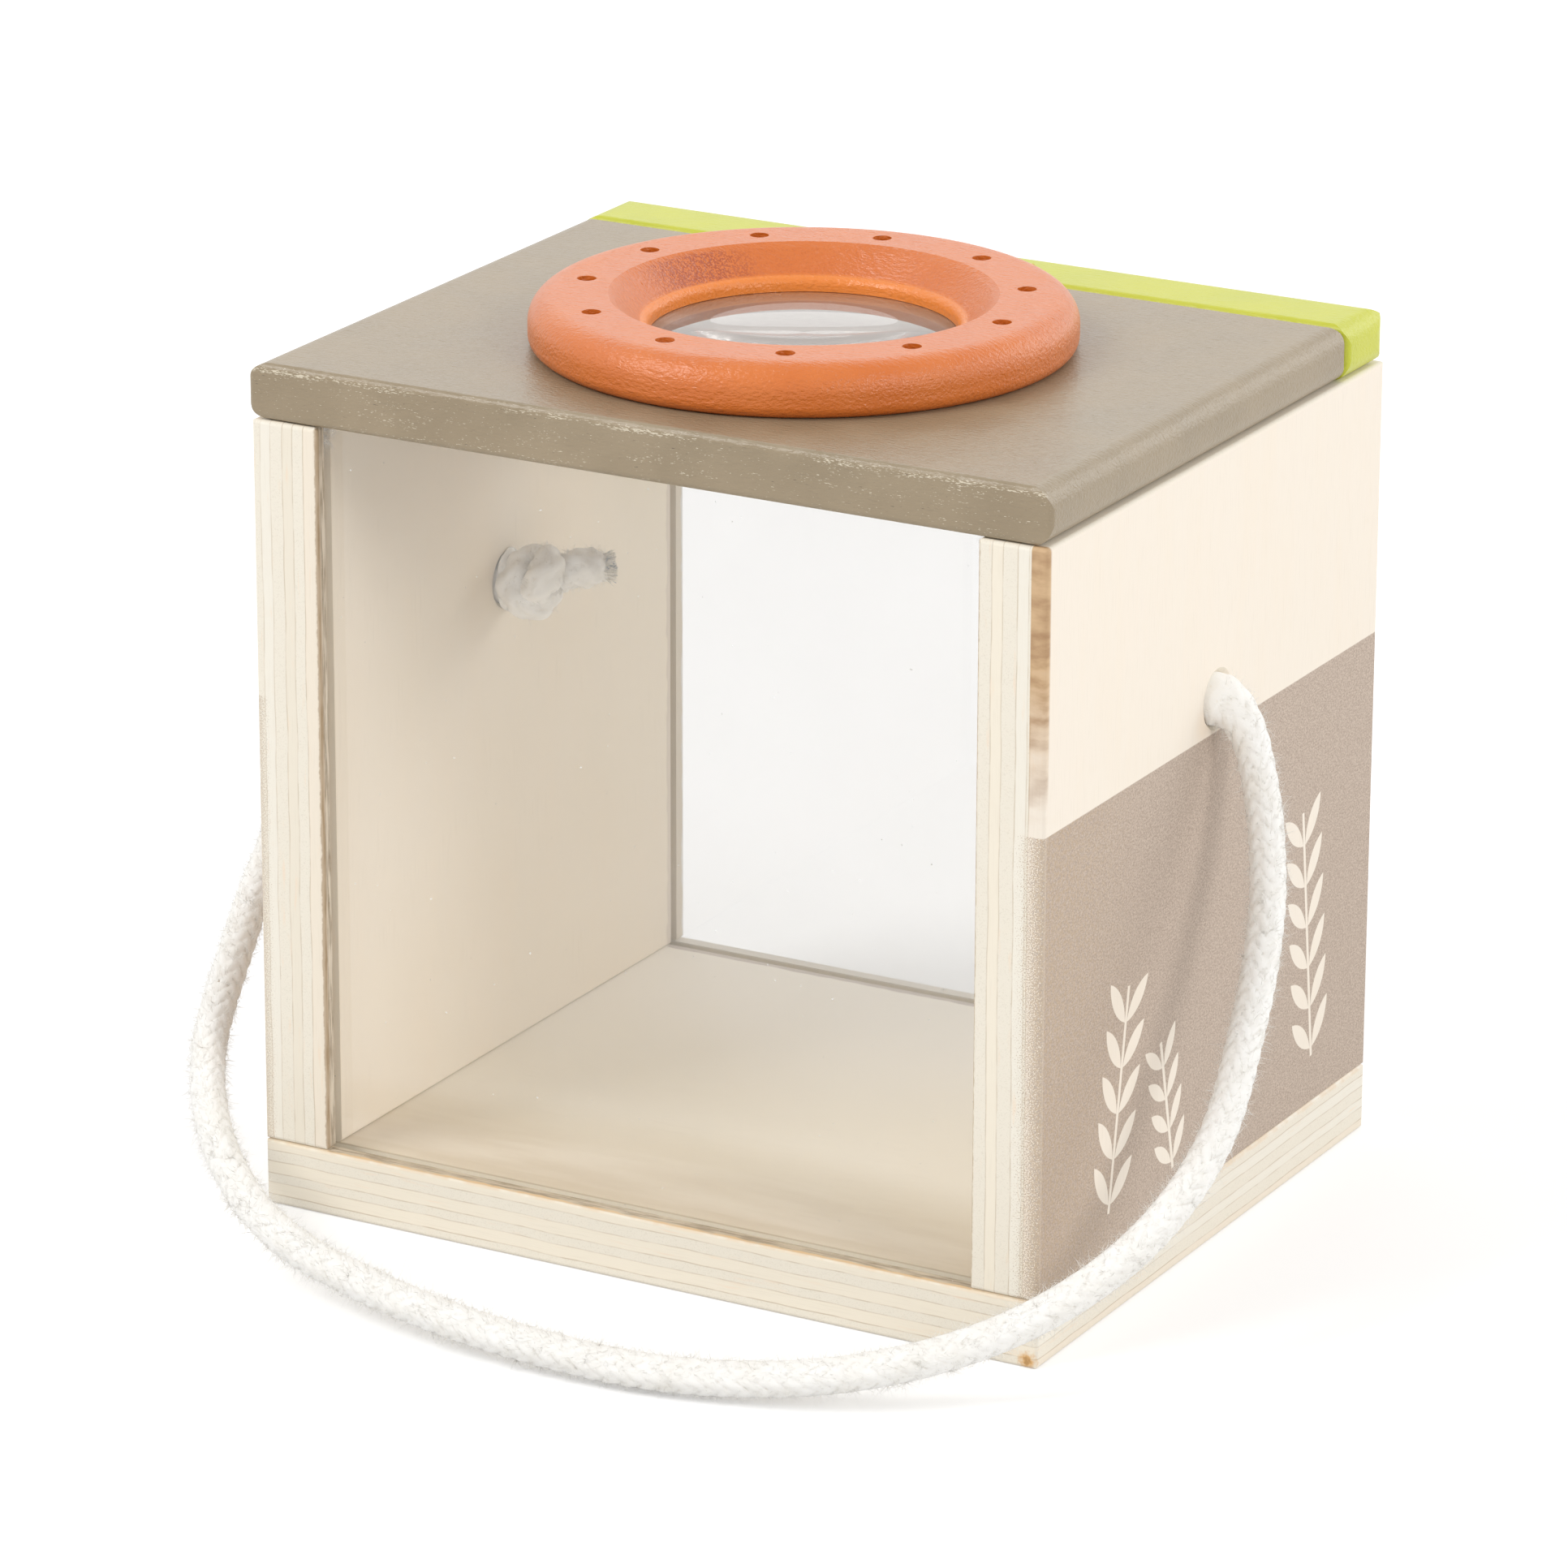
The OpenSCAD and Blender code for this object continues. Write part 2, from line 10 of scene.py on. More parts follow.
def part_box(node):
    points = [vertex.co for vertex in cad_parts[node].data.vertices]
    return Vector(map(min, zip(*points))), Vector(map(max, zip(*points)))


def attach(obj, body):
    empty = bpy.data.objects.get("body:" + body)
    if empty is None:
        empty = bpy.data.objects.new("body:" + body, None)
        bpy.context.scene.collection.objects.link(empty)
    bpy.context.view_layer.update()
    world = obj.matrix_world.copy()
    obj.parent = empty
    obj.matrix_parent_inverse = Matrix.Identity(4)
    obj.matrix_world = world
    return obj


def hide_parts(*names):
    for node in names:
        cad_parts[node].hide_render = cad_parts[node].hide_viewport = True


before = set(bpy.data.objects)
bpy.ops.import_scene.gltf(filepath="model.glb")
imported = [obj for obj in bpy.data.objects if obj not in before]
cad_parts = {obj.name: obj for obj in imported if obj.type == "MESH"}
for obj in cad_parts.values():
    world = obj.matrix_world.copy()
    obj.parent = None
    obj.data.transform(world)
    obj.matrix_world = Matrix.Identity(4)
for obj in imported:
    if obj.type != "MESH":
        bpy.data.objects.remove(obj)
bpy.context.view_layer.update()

# Camera
# Stands to the right in front of the box and looks down on it through a long lens.
film_width = 36
focal_length = 180.5
camera_place = Vector((0.4115, -0.7499, 0.3410))
camera_turn = math.radians(29.06)
camera_dip = math.radians(18.97)
camera_roll = math.radians(0.16)
camera_data = bpy.data.cameras.new("camera")
camera_data.sensor_width = film_width
camera_data.lens = focal_length
camera = bpy.data.objects.new("camera", camera_data)
bpy.context.scene.collection.objects.link(camera)
camera.matrix_world = (
    Matrix.Translation(camera_place)
    @ Matrix.Rotation(camera_turn, 4, "Z")
    @ Matrix.Rotation(math.pi / 2 - camera_dip, 4, "X")
    @ Matrix.Rotation(camera_roll, 4, "Z")
)
bpy.context.scene.camera = camera


# Cord handle
# One length of soft round cotton cord, braided of 16 strands. It runs out through a bore in each side
# panel and lies on the ground in front of the box.
mm = 0.001
cord_r = 2.1 * mm
# Middle line of the cord, from inside the left panel to inside the right one
cord_route = [
    (-0.0412, 0, 0.0655),
    (-0.044, 0, 0.0655),
    (-0.0465, 0, 0.0655),
    (-0.0498, 0, 0.0655),
    (-0.0523, -0.0001, 0.0644),
    (-0.0544, -0.0006, 0.0617),
    (-0.0564, -0.002, 0.0573),
    (-0.0587, -0.0048, 0.052),
    (-0.0613, -0.0098, 0.045),
    (-0.0632, -0.0176, 0.0354),
    (-0.0625, -0.028, 0.025),
    (-0.059, -0.04, 0.0155),
    (-0.05, -0.051, 0.009),
    (-0.0365, -0.0605, 0.0055),
    (-0.019, -0.0665, 0.004),
    (0, -0.069, 0.003),
    (0.019, -0.0675, 0.0025),
    (0.0365, -0.0615, 0.004),
    (0.0505, -0.0515, 0.008),
    (0.06, -0.04, 0.015),
    (0.064, -0.0285, 0.024),
    (0.0632, -0.0176, 0.0354),
    (0.0613, -0.0098, 0.045),
    (0.0587, -0.0048, 0.052),
    (0.0564, -0.002, 0.0573),
    (0.0544, -0.0006, 0.0617),
    (0.0523, -0.0001, 0.0644),
    (0.0498, 0, 0.0655),
    (0.0465, 0, 0.0655),
    (0.044, 0, 0.0655),
    (0.0412, 0, 0.0655),
]
cord_lay = 17 * mm
strands_each_way = 8
braid_depth = 0.4 * mm
# Shares of the braid's height: a strand's round back, its rise at a crossing, its yarns, and the rest
strand_share = 0.5
crossing_share = 0.28
yarn_share = 0.05
rest_share = 0.17
cotton_white = (0.985, 0.97, 0.935, 1)
cotton_shade = (0.9, 0.86, 0.78, 1)
husk_brown = (0.5, 0.36, 0.22, 1)
# Painted shade: darker, yellower tone for the braid's crevices, where shade falls between the strands
painted_crevice_shade = (0.84, 0.77, 0.65, 1)
# The cord is slack in the bore and fills it, bunches up at the mouth and is pulled round where it hangs
slack_r = 2.96 * mm
swell_x = [49.9 * mm, 50.15 * mm, 50.8 * mm, 51.8 * mm, 53.2 * mm, 55 * mm]
swell_r = [slack_r, 3.12 * mm, 3.02 * mm, 2.7 * mm, 2.35 * mm, cord_r]
swell_ends_y = -12 * mm
# How much of the braid's relief is left at each radius of the cord: least where the bore presses it flat
relief_r = [2.85 * mm, slack_r, 3.05 * mm]
relief_shares = [1, 0.2, 0.9]
lump_pitches = [3.3 * mm, 2.1 * mm]
cord_step = 0.24 * mm
cord_around = 64


def smooth_line(points, step):
    """Points a step apart on the smooth line through the given points."""
    p = np.array(points, float)
    chord = np.linalg.norm(np.diff(p, axis=0), axis=1)
    slope = np.empty_like(p)
    slope[1:-1] = (p[2:] - p[:-2]) / (chord[1:] + chord[:-1])[:, None]
    slope[0] = (p[1] - p[0]) / chord[0]
    slope[-1] = (p[-1] - p[-2]) / chord[-1]
    parts = []
    for i, length in enumerate(chord):
        s = np.linspace(0, 1, max(2, math.ceil(length / step)), endpoint=False)[:, None]
        parts.append(
            (2 * s**3 - 3 * s**2 + 1) * p[i]
            + (s**3 - 2 * s**2 + s) * length * slope[i]
            + (3 * s**2 - 2 * s**3) * p[i + 1]
            + (s**3 - s**2) * length * slope[i + 1]
        )
    return np.vstack(parts + [p[-1:]])


def way_along(line):
    """Distance of each point along a line."""
    return np.concatenate([[0], np.cumsum(np.linalg.norm(np.diff(line, axis=0), axis=1))])


def side_directions(line):
    """Heading, and two side directions carried along the line without twist."""
    heading = np.gradient(line, axis=0)
    heading /= np.linalg.norm(heading, axis=1)[:, None]
    side = np.empty_like(line)
    last = np.array([0.0, 0.0, 1.0])
    for i, t in enumerate(heading):
        last = last - (last @ t) * t
        last /= np.linalg.norm(last)
        side[i] = last
    return heading, side, np.cross(heading, side)


def braid_height(along, turn):
    """Height of the braid, 0 to 1, at a place along the cord and a share of a turn round it."""
    right_hand = strands_each_way * (turn + along / cord_lay)
    left_hand = strands_each_way * (turn - along / cord_lay)
    heights = []
    for own, other, first in ((right_hand, left_hand, 1), (left_hand, right_hand, -1)):
        strand = np.floor(own)
        across = 2 * (own - strand) - 1
        bulge = np.sqrt(np.clip(1 - across**2, 0, 1))
        yarns = yarn_share * np.cos(3 * np.pi * across)
        over = first * np.cos(np.pi / 2 * (strand + other - 1))
        heights.append(strand_share * bulge + yarns + crossing_share * over + rest_share)
    return np.clip(np.maximum(*heights), 0, 1)


def braided_cord(line, radius, around, lumps=0.0):
    """Points and faces of a braided cord along a line, closed at both ends. lumps is how far it bulges."""
    along = way_along(line)
    heading, side, other = side_directions(line)
    turn = np.arange(around) / around
    height = braid_height(along[:, None], turn[None, :])
    relief = np.interp(radius, relief_r, relief_shares)[:, None]
    r = radius[:, None] - relief * braid_depth * (1 - height)
    wave = np.sin(2 * np.pi * (along[:, None] / lump_pitches[0] + 2 * turn))
    wave += np.sin(2 * np.pi * (along[:, None] / lump_pitches[1] - 3 * turn))
    r += lumps * relief * wave
    angle = 2 * np.pi * turn
    ring = np.cos(angle)[None, :, None] * side[:, None] + np.sin(angle)[None, :, None] * other[:, None]
    points = (line[:, None] + r[..., None] * ring).reshape(-1, 3)
    faces = []
    for i in range(len(line) - 1):
        here, there = i * around, (i + 1) * around
        for j in range(around):
            k = (j + 1) % around
            faces.append((here + j, there + j, there + k, here + k))
    last = (len(line) - 1) * around
    faces.append(tuple(range(around)))
    faces.append(tuple(last + j for j in reversed(range(around))))
    return points, faces, height.ravel()


def new_piece(name, points, faces, body, finish, heights=None):
    """Shown piece of these points and faces, which rides on a body of the frame. heights is the braid's."""
    mesh = bpy.data.meshes.new(name)
    mesh.from_pydata([tuple(p) for p in points], [], faces)
    mesh.validate()
    if heights is not None:
        mesh.attributes.new("braid", "FLOAT", "POINT").data.foreach_set("value", heights)
    mesh.shade_smooth()
    mesh.materials.append(finish)
    piece = bpy.data.objects.new(name, mesh)
    bpy.context.scene.collection.objects.link(piece)
    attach(piece, body)
    return piece


class Finish:
    """A finish made of shader nodes. Every texture starts from the piece's own place in the frame."""

    def __init__(self, name):
        self.material = bpy.data.materials.new(name)
        self.material.use_nodes = True
        self.tree = self.material.node_tree
        self.surface = self.tree.nodes["Principled BSDF"]
        self.output = self.tree.nodes["Material Output"]
        coordinates = self.tree.nodes.new("ShaderNodeTexCoord")
        self.place = coordinates.outputs["Object"]
        self.facing = coordinates.outputs["Normal"]
        self.x, self.y, self.z = self.parts(self.place)

    def put(self, socket, value):
        """Links a node's output to the socket, or gives the socket a plain value."""
        if isinstance(value, bpy.types.NodeSocket):
            self.tree.links.new(value, socket)
        else:
            socket.default_value = value

    def node(self, kind, values, output=0, **settings):
        """Output of a new node of this kind, with these input values and settings."""
        made = self.tree.nodes.new("ShaderNode" + kind)
        for setting, value in settings.items():
            setattr(made, setting, value)
        for socket, value in values.items():
            self.put(made.inputs[socket], value)
        return made.outputs[output]

    def parts(self, vector):
        """X, y and z of a vector."""
        split = self.tree.nodes.new("ShaderNodeSeparateXYZ")
        self.put(split.inputs[0], vector)
        return split.outputs[0], split.outputs[1], split.outputs[2]

    def math(self, operation, *values):
        """One sum of this kind on sockets or plain values."""
        return self.node("Math", dict(enumerate(values)), operation=operation)

    def times(self, product, *factors):
        """All of these multiplied."""
        for factor in factors:
            product = self.math("MULTIPLY", product, factor)
        return product

    def scaled(self, value, factor, offset):
        """The value times the factor, plus the offset."""
        return self.math("MULTIPLY_ADD", value, factor, offset)

    def away_from(self, point):
        """Distance of each place from a point."""
        return self.node("VectorMath", {0: self.place, 1: point}, output="Value", operation="DISTANCE")

    def band(self, value, low, high):
        """0 below low and 1 above high, or the other way round where low is the larger."""
        if low < high:
            return self.node("MapRange", {0: value, 1: low, 2: high}, interpolation_type="SMOOTHSTEP")
        values = {0: value, 1: high, 2: low, 3: 1.0, 4: 0.0}
        return self.node("MapRange", values, interpolation_type="SMOOTHSTEP")

    def spots(self, spacing, detail=2.0, stretch=(1, 1, 1), shift=0.0):
        """Soft noise with features of about this spacing, times the stretch along each axis."""
        scale = [1 / s for s in stretch]
        stretched = self.node("Mapping", {"Vector": self.place, "Scale": scale})
        values = {"Vector": stretched, "W": shift, "Scale": 1 / spacing, "Detail": detail}
        return self.node("TexNoise", values, noise_dimensions="4D")

    def mix(self, share, first, second):
        """The first colour at share 0, and the second at share 1."""
        return self.node("Mix", {0: share, 6: first, 7: second}, output=2, data_type="RGBA")

    def steps(self, value, stops, interpolation="LINEAR"):
        """Colour ramp over 0 to 1, from (place, colour) stops."""
        ramp = self.tree.nodes.new("ShaderNodeValToRGB")
        ramp.color_ramp.interpolation = interpolation
        elements = ramp.color_ramp.elements
        while len(elements) < len(stops):
            elements.new(1.0)
        for element, (place, colour) in zip(elements, stops):
            element.position = place
            element.color = colour
        self.put(ramp.inputs[0], value)
        return ramp.outputs[0]

    def relief(self, height, depth, under=None):
        """Normal of a surface that stands this deep where height is 1."""
        values = {"Height": height, "Distance": depth, "Strength": 1.0}
        if under is not None:
            values["Normal"] = under
        return self.node("Bump", values)

    def set(self, **values):
        """Fills inputs of the surface, with _ for each space in their names, and gives the material."""
        for name, value in values.items():
            self.put(self.surface.inputs[name.replace("_", " ")], value)
        return self.material


def cotton_finish():
    """Bleached cotton, fuzzy, a little yellow in places, with painted shade in the braid's crevices and a
    few flecks of seed husk.
    """
    f = Finish("braided_cotton")
    soft = f.band(f.spots(3 * mm), 0.35, 0.7)
    colour = f.mix(f.times(soft, 0.35), cotton_white, cotton_shade)
    braid = f.node("Attribute", {}, output="Fac", attribute_name="braid")
    # Painted shade: the braid's low places are tinted darker and yellower
    shaded_crevice = f.band(braid, 0.66, 0.25)
    colour = f.mix(f.times(shaded_crevice, 0.42), colour, painted_crevice_shade)
    fleck = f.band(f.spots(0.7 * mm, detail=0.0, shift=4.0), 0.87, 0.89)
    colour = f.mix(f.times(fleck, 0.8), colour, husk_brown)
    fuzz = f.spots(0.11 * mm, detail=3.0, shift=1.0)
    normal = f.relief(fuzz, 0.03 * mm)
    return f.set(Base_Color=colour, Normal=normal, Roughness=0.9, Sheen_Weight=0.6, Sheen_Roughness=0.5)


cotton = cotton_finish()
cord_line = smooth_line(cord_route, cord_step)
cord_radii = np.interp(np.abs(cord_line[:, 0]), swell_x, swell_r)
cord_radii[cord_line[:, 1] < swell_ends_y] = cord_r
cord_points, cord_faces, cord_heights = braided_cord(cord_line, cord_radii, cord_around)
cord = new_piece("braided_cord", cord_points, cord_faces, "handle", cotton, cord_heights)
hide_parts("rope_handle")


# Loose fibres of the cord
# Fine cotton hairs that wear has raised from the braid, most of them short.
fibre_r = 0.027 * mm
fibre_count = 17000
fibre_reach = 1.75 * mm
wisp_count = 60
wisp_reach = 5 * mm
tuft_count = 900
tuft_reach = 2.4 * mm
hairs_in_tuft = 15
fibres_start_x = 50.4 * mm
loop_front_y = -45 * mm
fibre_root_share = 0.94
fibre_lowest_z = 0.15 * mm
# Shares of a fibre's own length or thickness, and spreads of its direction
fibre_curl = 0.45
fibre_taper = 0.7
tuft_spread = 0.15
lean_spread = 0.9
curl_spread = 0.8
upright_lean = 0.8


def loose_fibres(line, radius, count, reach, seed, covers, bends=4, tuft=1):
    """Points and faces of fine hairs that stand off a cord, as thin three-sided spikes.

    covers says where on the line they grow, bends how many points a hair has, and tuft how many hairs
    start together.
    """
    rng = np.random.default_rng(seed)
    heading, side, other = side_directions(line)
    open_places = np.flatnonzero(covers(line))
    points, faces = [], []
    for number in range(count):
        if number % tuft == 0:
            i = rng.choice(open_places)
            middle_angle = rng.uniform(0, 2 * np.pi)
        angle = middle_angle + rng.normal(0, tuft_spread)
        out = np.cos(angle) * side[i] + np.sin(angle) * other[i]
        round_it = np.cross(heading[i], out)
        start = line[i] + fibre_root_share * radius[i] * out
        length = reach * rng.uniform(0.2, 1)
        lean = heading[i] * rng.normal(0, lean_spread) + round_it * rng.normal(0, lean_spread)
        lean = lean + out * rng.uniform(0.5, 1.2)
        lean /= np.linalg.norm(lean)
        across = heading[i] if abs(lean @ out) > upright_lean else out
        curl = rng.normal(0, curl_spread, 3)
        curl -= (curl @ lean) * lean
        s = np.linspace(0, 1, bends)[:, None]
        hair = start + length * (s * lean + fibre_curl * s**2 * curl)
        hair[:, 2] = np.maximum(hair[:, 2], fibre_lowest_z)
        thick = fibre_r * rng.uniform(0.6, 1.2)
        first = len(points)
        for k in range(bends - 1):
            for corner in range(3):
                turn = 2 * np.pi * corner / 3
                spoke = np.cos(turn) * across + np.sin(turn) * round_it
                points.append(hair[k] + thick * (1 - fibre_taper * k / (bends - 1)) * spoke)
        points.append(hair[-1])
        tip = len(points) - 1
        for k in range(bends - 2):
            for corner in range(3):
                a = first + 3 * k + corner
                b = first + 3 * k + (corner + 1) % 3
                faces.append((a, b, b + 3, a + 3))
        last = first + 3 * (bends - 2)
        for corner in range(3):
            faces.append((last + corner, last + (corner + 1) % 3, tip))
        faces.append((first + 2, first + 1, first))
    return points, faces


def fibre_finish():
    """Bare cotton hairs, in the cord's two tones."""
    f = Finish("cotton_fibre")
    soft = f.spots(2 * mm)
    colour = f.mix(soft, cotton_white, cotton_shade)
    return f.set(Base_Color=colour, Roughness=0.8, Sheen_Weight=0.5)


fibre_cotton = fibre_finish()


def outside_box(line):
    """True where the cord is clear of the side panels, or lies in front of the box."""
    return (np.abs(line[:, 0]) > fibres_start_x) | (line[:, 1] < loop_front_y)


short = loose_fibres(cord_line, cord_radii, fibre_count, fibre_reach, 7, outside_box, 3)
wisps = loose_fibres(cord_line, cord_radii, wisp_count, wisp_reach, 11, outside_box, 7)
tufts = loose_fibres(cord_line, cord_radii, tuft_count, tuft_reach, 13, outside_box, 4, hairs_in_tuft)
fibre_points, fibre_faces = [], []
for points, faces in (short, wisps, tufts):
    first = len(fibre_points)
    fibre_points += points
    fibre_faces += [tuple(first + corner for corner in face) for face in faces]
cord_fibres = new_piece("cord_fibres", fibre_points, fibre_faces, "handle", fibre_cotton)


# Knots of the cord
# An overhand knot in each end of the cord keeps it from slipping out through the bore. The cord is drawn
# tight in the knot, and its cut end is frayed and a little soiled.
bore_mouth = (-0.0416, 0, 0.0655)
knot_start_x = 40.4 * mm
# From the bore's mouth, as away from the panel, towards the rear, up
knot_route = [
    (-0.0006, 0, 0),
    (0.001, 0.0001, 0.0001),
    (0.0026, 0.0006, 0.0004),
    (0.0039, 0.0013, 0.0002),
    (0.0045, 0.001, -0.001),
    (0.0041, -0.0007, -0.002),
    (0.0031, -0.0018, -0.0017),
    (0.0022, -0.0022, -0.0004),
    (0.0021, -0.0016, 0.0011),
    (0.0027, 0.0001, 0.0022),
    (0.0042, 0.0009, 0.0025),
    (0.0056, -0.0005, 0.0025),
    (0.006, -0.0019, 0.0016),
    (0.005, -0.002, 0.0005),
    (0.0038, -0.0008, -0.0002),
    (0.0032, 0.0006, -0.0006),
    (0.0039, 0.0024, -0.0001),
    (0.0056, 0.0029, 0.0008),
    (0.008, 0.0026, 0.0018),
    (0.011, 0.004, 0.0021),
]
knot_cord_r = 2.1 * mm
tail_r = 2.3 * mm
# Radius of the cord at distances from the knot's start in the bore, and at distances back from its free end
start_radii = [(0.6 * mm, slack_r), (0.8 * mm, 3.75 * mm), (1.5 * mm, 3.3 * mm), (2.6 * mm, knot_cord_r)]
end_radii = [(6 * mm, knot_cord_r), (4 * mm, tail_r), (1.4 * mm, tail_r), (0, 0.66 * tail_r)]
knot_step = 0.2 * mm
knot_around = 48
knot_lumps = 0.13 * mm
knot_fibre_count = 3000
knot_fibre_reach = 1.2 * mm
frayed_threads = 240
frayed_reach = 1.7 * mm
frayed_thread_r = 0.13 * mm
thread_sides = 5
thread_rings = 4
thread_root = 0.5 * mm
thread_waver = 0.05 * mm
thread_taper = 0.55
soiled_blue = (0.33, 0.35, 0.39, 1)


def knot_line():
    """Middle line of the left knot, from the bore to the frayed end."""
    return smooth_line(knot_route, knot_step) + bore_mouth


def knot_radii(line):
    """Radius along the knot: slack in the bore, tight in the knot, and slack again at the free end."""
    along = way_along(line)
    stops = [way for way, r in start_radii] + [along[-1] - way for way, r in end_radii]
    sizes = [r for way, r in start_radii + end_radii]
    return np.interp(along, stops, sizes)


def frayed_end(line, radius, seed):
    """Points and faces of the thread ends that stand out of the cut end."""
    rng = np.random.default_rng(seed)
    heading, side, other = side_directions(line)
    points, faces = [], []
    for number in range(frayed_threads):
        out_share = math.sqrt(rng.random())
        angle = rng.uniform(0, 2 * np.pi)
        out = math.cos(angle) * side[-1] + math.sin(angle) * other[-1]
        start = line[-1] + 0.9 * radius * out_share * out - thread_root * heading[-1]
        lean = heading[-1] + out * out_share * rng.uniform(0, 0.7) + rng.normal(0, 0.18, 3)
        lean /= np.linalg.norm(lean)
        length = frayed_reach * rng.uniform(0.5, 1)
        first = len(points)
        for k in range(thread_rings):
            share = k / (thread_rings - 1)
            centre = start + length * share * lean + rng.normal(0, thread_waver, 3)
            r = frayed_thread_r * (1 - thread_taper * share)
            for j in range(thread_sides):
                turn = 2 * np.pi * j / thread_sides
                points.append(centre + r * (math.cos(turn) * side[-1] + math.sin(turn) * other[-1]))
        last = first + (thread_rings - 1) * thread_sides
        for ring in range(first, last, thread_sides):
            for j in range(thread_sides):
                a, b = ring + j, ring + (j + 1) % thread_sides
                faces.append((a, b, b + thread_sides, a + thread_sides))
        faces.append(tuple(first + j for j in reversed(range(thread_sides))))
        faces.append(tuple(last + j for j in range(thread_sides)))
    return points, faces


def in_the_open(line):
    """True where the knot is out of the bore."""
    return np.abs(line[:, 0]) < knot_start_x


def soiled_finish():
    """Cotton thread ends, grey-blue where they are soiled."""
    f = Finish("soiled_cotton")
    soiled = f.band(f.spots(1.1 * mm, detail=3.0, shift=1.5), 0.5, 0.66)
    colour = f.mix(soiled, cotton_shade, soiled_blue)
    return f.set(Base_Color=colour, Roughness=0.9, Sheen_Weight=0.2)


soiled_cotton = soiled_finish()
left_line = knot_line()
right_line = left_line * (-1, -1, 1)
knots = []
for name, line, seed in (("left", left_line, 21), ("right", right_line, 22)):
    radii = knot_radii(line)
    points, faces, heights = braided_cord(line, radii, knot_around, knot_lumps)
    knot = new_piece(f"{name}_overhand_knot", points, faces, "handle", cotton, heights)
    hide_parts(f"{name}_knot")
    points, faces = frayed_end(line, radii[-1], seed)
    ends = new_piece(f"{name}_frayed_end", points, faces, "handle", soiled_cotton)
    points, faces = loose_fibres(line, radii, knot_fibre_count, knot_fibre_reach, seed + 10, in_the_open)
    fluff = new_piece(f"{name}_knot_fibres", points, faces, "handle", fibre_cotton)
    knots += [knot, ends, fluff]


# Base panel
# Plywood board of six plies, sanded and left raw. The grain of each ply lies across that of its
# neighbours, so cream long grain and grey end grain take turns along every edge.
X, Y, Z = 0, 1, 2
cream = (0.9, 0.825, 0.69, 1)
pale_cream = (0.89, 0.84, 0.735, 1)
face_cream = (0.895, 0.81, 0.7, 1)
warm_cream = (0.88, 0.79, 0.66, 1)
end_grey = (0.865, 0.805, 0.69, 1)
firm_cream = (0.855, 0.785, 0.66, 1)
pore_grey = (0.5, 0.43, 0.32, 1)
peach = (0.9, 0.72, 0.54, 1)
glue_brown = (0.52, 0.4, 0.27, 1)
grime_and_groove_shade = (0.33, 0.255, 0.17, 1)
glue_white = (0.9, 0.89, 0.86, 1)
orange_burn = (0.72, 0.45, 0.2, 1)
black = (0, 0, 0, 1)
white = (1, 1, 1, 1)
floor_front_brown = (0.45, 0.31, 0.15, 1)
painted_rear_floor_light = (0.97, 0.925, 0.86, 1)
painted_rear_groove_shade = (0.42, 0.33, 0.29, 1)
knot_brown = (0.4, 0.2, 0.06, 1)
# Pairs of places are where a tone is gone and where it is full
front_brown_y = (-12 * mm, -37 * mm)
rear_light_y = (-10 * mm, 30 * mm)
between_panels_x = (41.9 * mm, 41.5 * mm)
under_panels_x = (49.2 * mm, 49.7 * mm)
glue_line = 0.1 * mm
ply_wander = 0.5 * mm
pore_pitch = 0.17 * mm
pore_length_share = 24.0
pore_depth = 0.012 * mm
base_low, base_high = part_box("base_panel")
# Thickness, way of the grain and colour of each ply from the top down
base_plies = [
    (1.3 * mm, X, cream),
    (1.35 * mm, Y, pale_cream),
    (1.5 * mm, X, cream),
    (1.15 * mm, Y, pale_cream),
    (1.5 * mm, X, cream),
    (1.2 * mm, Y, warm_cream),
]
# How dark each glue line is, from the top down
base_glue = [0.8, 0.75, 0.85, 0.7, 1.0]
pane_front_y = -40.2 * mm
pane_rear_y = 37.8 * mm
burn_low_y = -41.55 * mm
burn_high_y = -41.3 * mm


